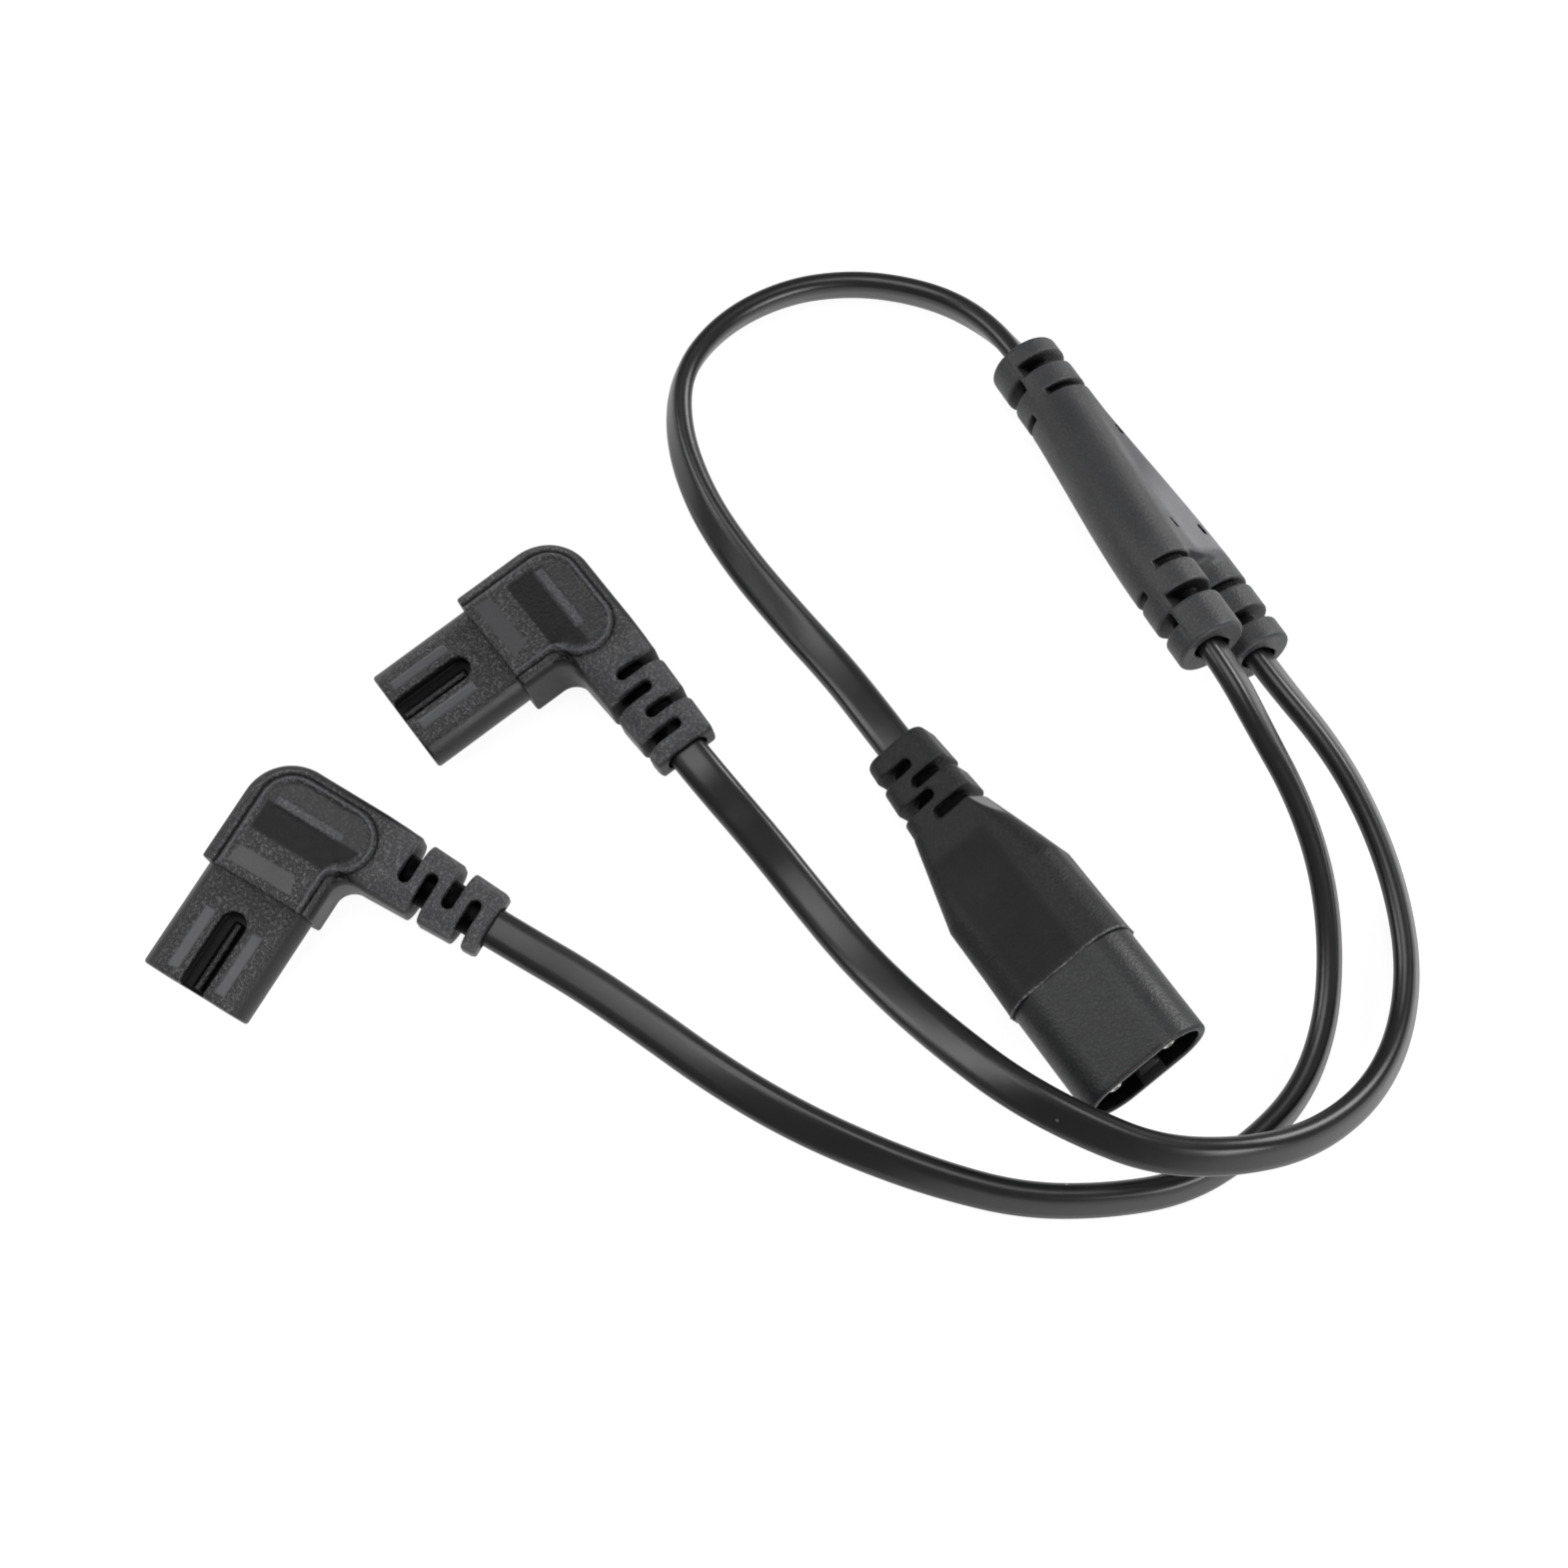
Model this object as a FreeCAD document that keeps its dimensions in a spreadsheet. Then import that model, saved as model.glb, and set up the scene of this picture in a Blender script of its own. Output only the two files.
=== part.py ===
import FreeCAD, Part
import math
import os

import Sketcher
from FreeCAD import Placement, Rotation, Vector

# Y-splitter mains lead, laid out as it lies on a table. Millimetres, +Z up.
# One in-line two-pin inlet feeds, over a short flat cable, a moulded splitter,
# and two flat cables lead from there to two right-angle outlet connectors.
# Each moulding is drawn in its own frame and put in its place by one pose.

DOC = FreeCAD.newDocument("FigureEightLead")
SHEET = DOC.addObject("Spreadsheet::Sheet", "Sizes")
SUBPARTS = []


# Driving dimensions

SIZES = {
    # Two-pole interface, shared by the inlet and both outlets
    "pin_pitch": 8.6,
    "pin_radius": 1.18,
    "nose_width": 15.6,
    "nose_height": 7.9,
    "nose_length": 15.2,
    "groove_width": 3.7,
    "groove_depth": 1.9,
    "groove_length": 11.5,
    "nose_clearance": 0.3,
    # Flat two-core cable
    "cable_width": 5.4,
    "core_radius": 1.15,
    "core_pitch": 2.6,
    # Inlet shroud
    "shroud_wall": 1.1,
    "shroud_length": 15.9,
    "cavity_depth": 14.3,
    "rib_height": 1.1,
    "rib_base": 3.3,
    "rib_top": 2.5,
    "rib_setback": 1.6,
    "mouth_round": 0.45,
    "boss_margin": 1.4,
    "boss_length": 6.5,
    # Inlet pins
    "pin_recess": 1.0,
    "pin_tip_round": 0.75,
    "pin_tip_hole": 0.42,
    "pin_tip_hole_depth": 1.6,
    "pin_shank_radius": 1.45,
    "crimp_radius": 1.7,
    "crimp_length": 6.0,
    # Inlet overmould
    "grip_proud": 0.15,
    "grip_length": 13.6,
    "grip_height": 11.3,
    "grip_corner": 3.6,
    "grip_rear_width": 17.8,
    "wedge_length": 14.0,
    "wedge_end_width": 10.6,
    "wedge_end_height": 9.2,
    "wedge_end_corner": 2.9,
    "inlet_neck_length": 12.5,
    "inlet_neck_width": 9.2,
    "inlet_neck_height": 8.0,
    # Strain relief slots
    "slot_width": 1.7,
    "slot_overlap": 0.7,
    "inlet_slot_pitch": 5.4,
    "inlet_slot_first": 3.4,
    "inlet_slot_stagger": 2.9,
    "outlet_slot_pitch": 6.5,
    "outlet_slot_first": 4.9,
    "outlet_slot_stagger": 3.2,
    "splitter_slot_pitch": 5.4,
    "splitter_slot_first": 4.7,
    "splitter_slot_stagger": 2.2,
    "splitter_slot_wide": 2.1,
    "splitter_slot_narrow": 1.2,
    "splitter_slot_rib": 0.35,
    "splitter_slot_shallow": 1.9,
    "sleeve_wall": 0.9,
    # Outlet connector
    "contact_radius": 1.75,
    "contact_bore": 1.23,
    "contact_setback": 1.1,
    "contact_tail": 5.0,
    "entry_radius": 1.4,
    "entry_wall": 1.4,
    "nose_edge_round": 0.5,
    "tenon_length": 3.5,
    "tenon_margin": 1.1,
    "head_half_width": 8.35,
    "head_depth": 16.9,
    "head_height": 10.8,
    "head_corner": 6.8,
    "head_edge_round": 2.1,
    "head_inner_fillet": 2.2,
    "outlet_neck_axis": 11.85,
    "outlet_neck_start": 12.0,
    "outlet_neck_end": 28.2,
    "outlet_neck_root_width": 10.1,
    "outlet_neck_tip_width": 9.0,
    "outlet_neck_tip_height": 7.9,
    "core_bend": 3.2,
    # Raised pad on the head, and the recess in it with a bar across the middle
    "plateau_height": 0.35,
    "plateau_front": 0.7,
    "plateau_rear": 15.25,
    "plateau_left": 6.0,
    "plateau_right": 6.6,
    "plateau_corner": 4.5,
    "plateau_lobe": 4.3,
    "plateau_lobe_line": 6.0,
    "panel_depth": 0.3,
    "panel_front": 6.1,
    "panel_rear": 14.6,
    "panel_left": 4.9,
    "panel_right": 6.4,
    "panel_corner": 3.5,
    "panel_lobe": 3.7,
    "panel_lobe_line": 5.6,
    "panel_bar_near": 10.4,
    "panel_bar_far": 11.3,
    "panel_bar_left": 4.0,
    "panel_bar_right": 6.2,
    # Splitter
    "splitter_length": 57.0,
    "branch_spacing": 13.0,
    "branch_radius": 4.8,
    "trunk_radius": 4.85,
    "trunk_length": 14.0,
    "crotch_station": 41.0,
    "web_relief_depth": 1.5,
    "web_relief_start": 13.0,
    "web_relief_half_width": 3.0,
    "splice_start": 16.0,
    "splice_length": 7.0,
    "splice_radius": 1.25,
    "splice_core_offset": 1.2,
    "splice_spread": 19.0,
}

# Place of each moulding on the table: x, y, z of its origin, then yaw, pitch, roll in degrees
POSES = {
    "inlet": (22.16, -51.96, 11.49, -90, -7, 24),
    "splitter": (69.76, 44.04, 5.14, -94.7, -7.2, 129.9),
    "outlet_a": (-58.74, 30.64, 6.25, -154.2, 6.2, -6.6),
    "outlet_b": (-15.84, 43.04, 6.22, -176.2, 6.8, 3.6),
}


def write_sheet():
    """Each size gets a cell of its own with its name as the alias."""
    for row, (name, number) in enumerate(SIZES.items(), start=1):
        SHEET.set("A%d" % row, name)
        SHEET.set("B%d" % row, str(number))
        SHEET.setAlias("B%d" % row, name)
    DOC.recompute()


def size(expression):
    """Value in millimetres of an expression such as 'Sizes.pin_pitch / 2'."""
    return float(SHEET.evalExpression(expression))


def pose(component):
    x, y, z, yaw, pitch, roll = POSES[component]
    return Placement(Vector(x, y, z), Rotation(yaw, pitch, roll))


def keep(item, label, component=None, offset=Vector(0, 0, 0)):
    """Name a finished sub-part, put it in its component's place and list it."""
    item.Label = label
    if component:
        item.Placement = pose(component) * Placement(offset, Rotation())
    SUBPARTS.append(item)
    return item


# Sketching

def new_body(name):
    return DOC.addObject("PartDesign::Body", name + "_body")


def new_sketch(body, name, role, height="0"):
    """Sketch on one of the body's origin planes, moved along its normal by height."""
    sketch = body.newObject("Sketcher::SketchObject", name)
    plane = [item for item in body.Origin.OriginFeatures if item.Role == role][0]
    sketch.AttachmentSupport = [(plane, "")]
    sketch.MapMode = "FlatFace"
    sketch.setExpression("AttachmentOffset.Base.z", height)
    return sketch


def bind(sketch, kind, *parts, to):
    """Add a dimension to a sketch and bind it to an expression."""
    index = sketch.addConstraint(Sketcher.Constraint(kind, *parts, size(to)))
    name = "d%d" % index
    sketch.renameConstraint(index, name)
    sketch.setExpression("Constraints." + name, to)


def add_stadium(sketch, start, end, radius):
    """Closed outline at one radius round the line from start to end, both (x, y) expressions."""
    x0, y0, x1, y1, r = (size(item) for item in (*start, *end, radius))
    along = Vector(x1 - x0, y1 - y0, 0).normalize()
    side = Vector(-along.y, along.x, 0) * r
    a, b = Vector(x0, y0, 0), Vector(x1, y1, 0)
    turn = math.atan2(side.y, side.x)
    up = sketch.addGeometry(Part.LineSegment(a + side, b + side))
    far = sketch.addGeometry(Part.ArcOfCircle(Part.Circle(b, Vector(0, 0, 1), r), turn - math.pi, turn))
    down = sketch.addGeometry(Part.LineSegment(b - side, a - side))
    near = sketch.addGeometry(Part.ArcOfCircle(Part.Circle(a, Vector(0, 0, 1), r), turn, turn + math.pi))
    for first, end_of_first, second, end_of_second in (
        (up, 2, far, 2), (far, 1, down, 1), (down, 2, near, 2), (near, 1, up, 1),
    ):
        sketch.addConstraint(Sketcher.Constraint("Tangent", first, end_of_first, second, end_of_second))
    bind(sketch, "Radius", far, to=radius)
    for arc, (x, y) in ((near, start), (far, end)):
        bind(sketch, "DistanceX", -1, 1, arc, 3, to=x)
        bind(sketch, "DistanceY", -1, 1, arc, 3, to=y)


def add_oval(sketch, width, height, centre="0"):
    """Stadium of a width along the sketch's x and a height along its y."""
    half = "(%s - %s) / 2" % (width, height)
    start, end = (("%s %s %s" % (centre, sign, half), "0") for sign in "-+")
    add_stadium(sketch, start, end, "(%s) / 2" % height)


def add_polygon(sketch, corners):
    """Closed outline of straight lines through corners, each (x, y) expressions."""
    spots = [Vector(size(x), size(y), 0) for x, y in corners]
    count = len(spots)
    lines = [sketch.addGeometry(Part.LineSegment(spots[i], spots[(i + 1) % count])) for i in range(count)]
    for i, (x, y) in enumerate(corners):
        sketch.addConstraint(Sketcher.Constraint("Coincident", lines[i - 1], 2, lines[i], 1))
        bind(sketch, "DistanceX", -1, 1, lines[i], 1, to=x)
        bind(sketch, "DistanceY", -1, 1, lines[i], 1, to=y)


def add_rounded_box(sketch, left, right, bottom, top, radius):
    """Rectangle with round corners; its four sides and its radius are expressions."""
    x0, x1, y0, y1, r = (size(item) for item in (left, right, bottom, top, radius))
    normal = Vector(0, 0, 1)
    quarter = math.pi / 2
    low = sketch.addGeometry(Part.LineSegment(Vector(x0 + r, y0, 0), Vector(x1 - r, y0, 0)))
    east = sketch.addGeometry(Part.LineSegment(Vector(x1, y0 + r, 0), Vector(x1, y1 - r, 0)))
    high = sketch.addGeometry(Part.LineSegment(Vector(x1 - r, y1, 0), Vector(x0 + r, y1, 0)))
    west = sketch.addGeometry(Part.LineSegment(Vector(x0, y1 - r, 0), Vector(x0, y0 + r, 0)))
    arcs = []
    for x, y, start in (
        (x1 - r, y0 + r, 3 * quarter), (x1 - r, y1 - r, 0),
        (x0 + r, y1 - r, quarter), (x0 + r, y0 + r, 2 * quarter),
    ):
        circle = Part.Circle(Vector(x, y, 0), normal, r)
        arcs.append(sketch.addGeometry(Part.ArcOfCircle(circle, start, start + quarter)))
    sides = (low, east, high, west)
    for i, arc in enumerate(arcs):
        sketch.addConstraint(Sketcher.Constraint("Tangent", sides[i], 2, arc, 1))
        sketch.addConstraint(Sketcher.Constraint("Tangent", arc, 2, sides[(i + 1) % 4], 1))
    sketch.addConstraint(Sketcher.Constraint("Horizontal", low))
    for arc in arcs[1:]:
        sketch.addConstraint(Sketcher.Constraint("Equal", arcs[0], arc))
    bind(sketch, "Radius", arcs[0], to=radius)
    bind(sketch, "DistanceY", -1, 1, low, 1, to=bottom)
    bind(sketch, "DistanceY", -1, 1, high, 1, to=top)
    bind(sketch, "DistanceX", -1, 1, west, 1, to=left)
    bind(sketch, "DistanceX", -1, 1, east, 1, to=right)


def add_centred_box(sketch, width, height, radius):
    half_width = "(%s) / 2" % width
    half_height = "(%s) / 2" % height
    add_rounded_box(sketch, "-" + half_width, half_width, "-" + half_height, half_height, radius)


def add_circle(sketch, x, y, radius):
    circle = sketch.addGeometry(Part.Circle(Vector(size(x), size(y), 0), Vector(0, 0, 1), size(radius)))
    bind(sketch, "Radius", circle, to=radius)
    bind(sketch, "DistanceX", -1, 1, circle, 3, to=x)
    bind(sketch, "DistanceY", -1, 1, circle, 3, to=y)


# Features

def pad(body, name, sketch, length, backwards=False, both_ways=False):
    feature = body.newObject("PartDesign::Pad", name)
    feature.Profile = sketch
    feature.setExpression("Length", length)
    feature.Reversed = backwards
    if both_ways:
        feature.SideType = "Symmetric"
    sketch.Visibility = False
    return feature


def pocket(body, name, sketch, length, backwards=False, both_ways=False):
    """Cut away a sketch; the volume must drop, or the cut points the wrong way."""
    DOC.recompute()
    before = body.Shape.Volume
    feature = body.newObject("PartDesign::Pocket", name)
    feature.Profile = sketch
    feature.setExpression("Length", length)
    feature.Reversed = backwards
    if both_ways:
        feature.SideType = "Symmetric"
    DOC.recompute()
    if body.Shape.Volume >= before - 1e-6:
        raise ValueError("%s removes nothing" % name)
    return feature


def loft(body, name, first, *others):
    feature = body.newObject("PartDesign::AdditiveLoft", name)
    feature.Profile = first
    feature.Sections = list(others)
    feature.Ruled = True
    return feature


def round_edges(body, name, radius, chosen):
    """Fillet the edges of the body's tip for which chosen(edge) holds."""
    DOC.recompute()
    tip = body.Tip
    names = ["Edge%d" % (i + 1) for i, edge in enumerate(tip.Shape.Edges) if chosen(edge)]
    if not names:
        raise ValueError("%s finds no edge" % name)
    feature = body.newObject("PartDesign::Fillet", name)
    feature.Base = (tip, names)
    feature.setExpression("Radius", radius)
    DOC.recompute()
    return feature


def edge_lies(edge, axis, value, tolerance=1e-3):
    """Whether the whole edge lies in the plane where one coordinate has a value."""
    box = edge.BoundBox
    low, high = (getattr(box, axis + "Min"), getattr(box, axis + "Max"))
    return abs(low - value) < tolerance and abs(high - value) < tolerance


def cylinder(name, radius, length, start="0", axis=Vector(1, 0, 0)):
    """Round bar along an axis of the component's frame, from start towards plus."""
    bar = DOC.addObject("Part::Cylinder", name)
    bar.setExpression("Radius", radius)
    bar.setExpression("Height", length)
    bar.Placement = Placement(axis * size(start), Rotation(Vector(0, 0, 1), axis))
    return bar


def fuse(name, *shapes):
    feature = DOC.addObject("Part::MultiFuse", name)
    feature.Shapes = list(shapes)
    return feature


def cut(name, base, tool):
    feature = DOC.addObject("Part::Cut", name)
    feature.Base = base
    feature.Tool = tool
    return feature


# Cores: the insulated conductors inside the mouldings

def core_section(body, name, role, height, centre):
    sketch = new_sketch(body, name, role, height)
    add_circle(sketch, centre, "0", "Sizes.core_radius")
    return sketch


def pipe(body, name, profile, spine):
    feature = body.newObject("PartDesign::AdditivePipe", name)
    feature.Profile = profile
    feature.Spine = spine
    feature.Mode = "Frenet"
    feature.Transition = "Transformed"
    return feature


def spread_core(name, start, start_offset, end, end_offset, stub):
    """Core in the XY plane: a stub along X, two equal arcs to another offset, and a stub."""
    body = new_body(name)
    x0, y0, x3, y3, reach = (size(item) for item in (start, start_offset, end, end_offset, stub))
    way = 1 if x3 > x0 else -1
    a, b = Vector(x0, y0, 0), Vector(x0 + way * reach, y0, 0)
    c, d = Vector(x3 - way * reach, y3, 0), Vector(x3, y3, 0)
    span = (c - b).x
    shift = (c - b).y
    radius = (span**2 + shift**2) / (4 * abs(shift))
    middle = (b + c) / 2
    centre_b = b + Vector(0, math.copysign(radius, shift), 0)
    centre_c = c - Vector(0, math.copysign(radius, shift), 0)
    path = new_sketch(body, name + "_path", "XY_Plane")
    first = path.addGeometry(Part.LineSegment(a, b))
    arcs = []
    for centre, near, far in ((centre_b, b, middle), (centre_c, middle, c)):
        rim = (((near + far) / 2) - centre).normalize() * radius + centre
        arcs.append(path.addGeometry(Part.Arc(near, rim, far)))
    last = path.addGeometry(Part.LineSegment(c, d))

    def end_at(geometry, spot):
        return 1 if path.getPoint(geometry, 1).distanceToPoint(spot) < 1e-6 else 2

    one, two = arcs
    path.addConstraint(Sketcher.Constraint("Tangent", first, 2, one, end_at(one, b)))
    path.addConstraint(Sketcher.Constraint("Tangent", one, end_at(one, middle), two, end_at(two, middle)))
    path.addConstraint(Sketcher.Constraint("Tangent", two, end_at(two, c), last, 1))
    path.addConstraint(Sketcher.Constraint("Equal", arcs[0], arcs[1]))
    path.addConstraint(Sketcher.Constraint("Horizontal", first))
    path.addConstraint(Sketcher.Constraint("Horizontal", last))
    bind(path, "DistanceX", -1, 1, first, 1, to=start)
    bind(path, "DistanceY", -1, 1, first, 1, to=start_offset)
    bind(path, "DistanceX", -1, 1, last, 2, to=end)
    bind(path, "DistanceY", -1, 1, last, 2, to=end_offset)
    sign = "" if way > 0 else "-"
    bind(path, "DistanceX", first, 1, first, 2, to="%s(%s)" % (sign, stub))
    bind(path, "DistanceX", last, 1, last, 2, to="%s(%s)" % (sign, stub))
    pipe(body, name + "_pipe", core_section(body, name + "_round", "YZ_Plane", start, start_offset), path)
    return body


def corner_core(name, start, offset, neck_x, end, bend):
    """Core in the XY plane: back along X from a contact, a quarter bend, and out along Y."""
    body = new_body(name)
    x0, y0, x1, y1, r = (size(item) for item in (start, offset, neck_x, end, bend))
    path = new_sketch(body, name + "_path", "XY_Plane")
    first = path.addGeometry(Part.LineSegment(Vector(x0, y0, 0), Vector(x1 + r, y0, 0)))
    circle = Part.Circle(Vector(x1 + r, y0 + r, 0), Vector(0, 0, 1), r)
    arc = path.addGeometry(Part.ArcOfCircle(circle, math.pi, 1.5 * math.pi))
    last = path.addGeometry(Part.LineSegment(Vector(x1, y0 + r, 0), Vector(x1, y1, 0)))
    path.addConstraint(Sketcher.Constraint("Tangent", first, 2, arc, 2))
    path.addConstraint(Sketcher.Constraint("Tangent", arc, 1, last, 1))
    path.addConstraint(Sketcher.Constraint("Horizontal", first))
    path.addConstraint(Sketcher.Constraint("Vertical", last))
    bind(path, "Radius", arc, to=bend)
    bind(path, "DistanceX", -1, 1, first, 1, to=start)
    bind(path, "DistanceY", -1, 1, first, 1, to=offset)
    bind(path, "DistanceX", -1, 1, last, 2, to=neck_x)
    bind(path, "DistanceY", -1, 1, last, 2, to=end)
    pipe(body, name + "_pipe", core_section(body, name + "_round", "YZ_Plane", start, offset), path)
    return body


# Strain relief of the flat-topped necks: slots from both sides, and the sleeve left inside them

def neck_slots(body, name, axis, sides, direction):
    """Rounded slots cut from both sides past the middle, repeated once along the neck."""
    sketch = new_sketch(body, name + "_slot_sketch", "XY_Plane")
    for start, end in sides:
        add_stadium(sketch, start, end, "Sizes.slot_width / 2")
    slots = pocket(body, name + "_slots", sketch, "3 * Sizes.head_height", both_ways=True)
    row = body.newObject("PartDesign::LinearPattern", name + "_slot_row")
    row.Originals = [slots]
    row.Direction = (sketch, [axis])
    row.Reversed = direction < 0
    row.Occurrences = 2
    body.Tip = row
    return row


# Inlet: shroud, pins, overmould

SHROUD_WIDTH = "(Sizes.nose_width + 2 * Sizes.nose_clearance + 2 * Sizes.shroud_wall)"
SHROUD_HEIGHT = "(Sizes.nose_height + 2 * Sizes.nose_clearance + 2 * Sizes.shroud_wall + 0.3)"
CAVITY_WIDTH = "(Sizes.nose_width + 2 * Sizes.nose_clearance)"
CAVITY_HEIGHT = "(Sizes.nose_height + 2 * Sizes.nose_clearance)"
BOSS_BACK = "(Sizes.shroud_length + Sizes.boss_length)"
WEDGE_START = "(Sizes.shroud_length + Sizes.grip_length)"
NECK_START = "(Sizes.shroud_length + Sizes.grip_length + Sizes.wedge_length)"
INLET_END = "(Sizes.shroud_length + Sizes.grip_length + Sizes.wedge_length + Sizes.inlet_neck_length)"


def make_shroud():
    """Front moulding of the inlet: the hollow shroud, its keying ribs and the pin block behind it."""
    body = new_body("shroud")
    outline = new_sketch(body, "shroud_outline", "YZ_Plane")
    add_oval(outline, SHROUD_WIDTH, SHROUD_HEIGHT)
    pad(body, "shroud_shell", outline, "Sizes.shroud_length", backwards=True)
    block = new_sketch(body, "pin_block_outline", "YZ_Plane", "-Sizes.shroud_length")
    add_oval(block, "(%s - 2 * Sizes.boss_margin)" % CAVITY_WIDTH,
             "(%s - Sizes.boss_margin)" % CAVITY_HEIGHT)
    pad(body, "pin_block", block, "Sizes.boss_length", backwards=True)
    mouth = new_sketch(body, "cavity_outline", "YZ_Plane")
    add_oval(mouth, CAVITY_WIDTH, CAVITY_HEIGHT)
    pocket(body, "cavity", mouth, "Sizes.cavity_depth")
    for label, sign in (("top", ""), ("bottom", "-")):
        rib = new_sketch(body, label + "_rib_outline", "YZ_Plane", "-Sizes.cavity_depth")
        wall = "%s(%s / 2 + Sizes.shroud_wall / 2)" % (sign, CAVITY_HEIGHT)
        crest = "%s(%s / 2 - Sizes.rib_height)" % (sign, CAVITY_HEIGHT)
        add_polygon(rib, (
            ("-Sizes.rib_base / 2", wall), ("-Sizes.rib_top / 2", crest),
            ("Sizes.rib_top / 2", crest), ("Sizes.rib_base / 2", wall),
        ))
        pad(body, label + "_rib", rib, "Sizes.cavity_depth - Sizes.rib_setback")
    holes = new_sketch(body, "pin_holes_outline", "YZ_Plane", "-Sizes.cavity_depth")
    for sign in ("", "-"):
        add_circle(holes, sign + "Sizes.pin_pitch / 2", "0", "Sizes.pin_shank_radius")
    pocket(body, "pin_holes", holes, BOSS_BACK)
    rim_width, rim_height = size(SHROUD_WIDTH) / 2, size(SHROUD_HEIGHT) / 2
    inside = size("Sizes.shroud_wall") / 2

    def on_outer_rim(edge):
        box = edge.BoundBox
        wide = max(box.YMax, -box.YMin) > rim_width - inside
        high = max(box.ZMax, -box.ZMin) > rim_height - inside
        return edge_lies(edge, "X", 0) and (wide or high)

    round_edges(body, "mouth_rounding", "Sizes.mouth_round", on_outer_rim)
    return keep(body, "inlet_shroud", "inlet")


def make_pin(label, offset):
    """Plated pin with a rolled tip, its thicker shank, and the barrel that grips its conductor."""
    shaft = cylinder(label + "_shaft", "Sizes.pin_radius", "Sizes.cavity_depth - Sizes.pin_recess",
                     "-Sizes.cavity_depth + Sizes.pin_recess")
    DOC.recompute()
    tip = DOC.addObject("Part::Fillet", label + "_tip")
    tip.Base = shaft
    front = [i + 1 for i, edge in enumerate(shaft.Shape.Edges) if edge_lies(edge, "X", 0)]
    tip.Edges = [(i, size("Sizes.pin_tip_round"), size("Sizes.pin_tip_round")) for i in front]
    hole = cylinder(label + "_tip_hole", "Sizes.pin_tip_hole", "Sizes.pin_tip_hole_depth",
                    "-Sizes.pin_tip_hole_depth")
    shank = cylinder(label + "_shank", "Sizes.pin_shank_radius", BOSS_BACK + " - Sizes.cavity_depth",
                     "-%s + Sizes.pin_recess" % BOSS_BACK)
    barrel = cylinder(label + "_barrel", "Sizes.crimp_radius", "Sizes.crimp_length",
                      "-%s + Sizes.pin_recess - Sizes.crimp_length" % BOSS_BACK)
    pin = cut(label + "_pin", fuse(label + "_solid", tip, shank, barrel), hole)
    return keep(pin, label, "inlet", Vector(-size("Sizes.pin_recess"), offset, 0))


def make_inlet_hull():
    """Outside of the inlet's overmould: grip, wedge, neck and its staggered slots."""
    body = new_body("inlet_hull")
    front = new_sketch(body, "grip_front", "YZ_Plane", "-Sizes.shroud_length")
    add_centred_box(front, SHROUD_WIDTH + " + 2 * Sizes.grip_proud", "Sizes.grip_height",
                    "Sizes.grip_corner + 1.2")
    rear = new_sketch(body, "grip_rear", "YZ_Plane", "-" + WEDGE_START)
    add_centred_box(rear, "Sizes.grip_rear_width", "Sizes.grip_height", "Sizes.grip_corner")
    loft(body, "grip", front, rear)
    wedge_front = new_sketch(body, "wedge_front", "YZ_Plane", "-" + WEDGE_START)
    add_centred_box(wedge_front, "Sizes.grip_rear_width", "Sizes.grip_height", "Sizes.grip_corner")
    wedge_rear = new_sketch(body, "wedge_rear", "YZ_Plane", "-" + NECK_START)
    add_centred_box(wedge_rear, "Sizes.wedge_end_width", "Sizes.wedge_end_height", "Sizes.wedge_end_corner")
    loft(body, "wedge", wedge_front, wedge_rear)
    neck_front = new_sketch(body, "neck_front", "YZ_Plane", "-" + NECK_START)
    add_centred_box(neck_front, "Sizes.wedge_end_width", "Sizes.wedge_end_height", "Sizes.wedge_end_corner")
    neck_rear = new_sketch(body, "neck_rear", "YZ_Plane", "-" + INLET_END)
    add_centred_box(neck_rear, "Sizes.inlet_neck_width", "Sizes.inlet_neck_height",
                    "Sizes.wedge_end_corner")
    loft(body, "neck", neck_front, neck_rear)
    first = "-%s + Sizes.inlet_slot_first" % INLET_END
    second = first + " + Sizes.inlet_slot_stagger"
    sides = (
        ((first, "-Sizes.inlet_neck_width"), (first, "0")),
        ((second, "0"), (second, "Sizes.inlet_neck_width")),
    )
    row = neck_slots(body, "inlet", "H_Axis", sides, 1)
    row.setExpression("Length", "Sizes.inlet_slot_pitch")
    sleeve = new_sketch(body, "inlet_sleeve_outline", "YZ_Plane", "-" + INLET_END)
    add_circle(sleeve, "0", "0", "Sizes.cable_width / 2 + Sizes.sleeve_wall / 2")
    pad(body, "inlet_sleeve", sleeve, "Sizes.inlet_neck_length")
    round_edges(body, "inlet_end_rounding", "Sizes.mouth_round",
                lambda edge: edge_lies(edge, "X", -size(INLET_END)))
    return body


def make_inlet():
    shroud = make_shroud()
    pitch = size("Sizes.pin_pitch") / 2
    pins = [make_pin("inlet_pin_left", -pitch), make_pin("inlet_pin_right", pitch)]
    hull = make_inlet_hull()
    cores = []
    for side, sign in (("left", "-"), ("right", "")):
        core = spread_core(
            "inlet_core_" + side, "-" + INLET_END, sign + "Sizes.core_pitch / 2",
            "-(%s + Sizes.crimp_length)" % BOSS_BACK, sign + "Sizes.pin_pitch / 2",
            "Sizes.inlet_neck_length / 3",
        )
        cores.append(keep(core, "inlet_core_" + side, "inlet"))
    hull.Placement = pose("inlet")
    keep(cut("inlet_moulding", hull, fuse("inlet_inside", shroud, *pins, *cores)), "inlet_overmould")


# Outlet: nose, contacts, overmould

NECK_AXIS = "(-Sizes.outlet_neck_axis)"


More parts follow.
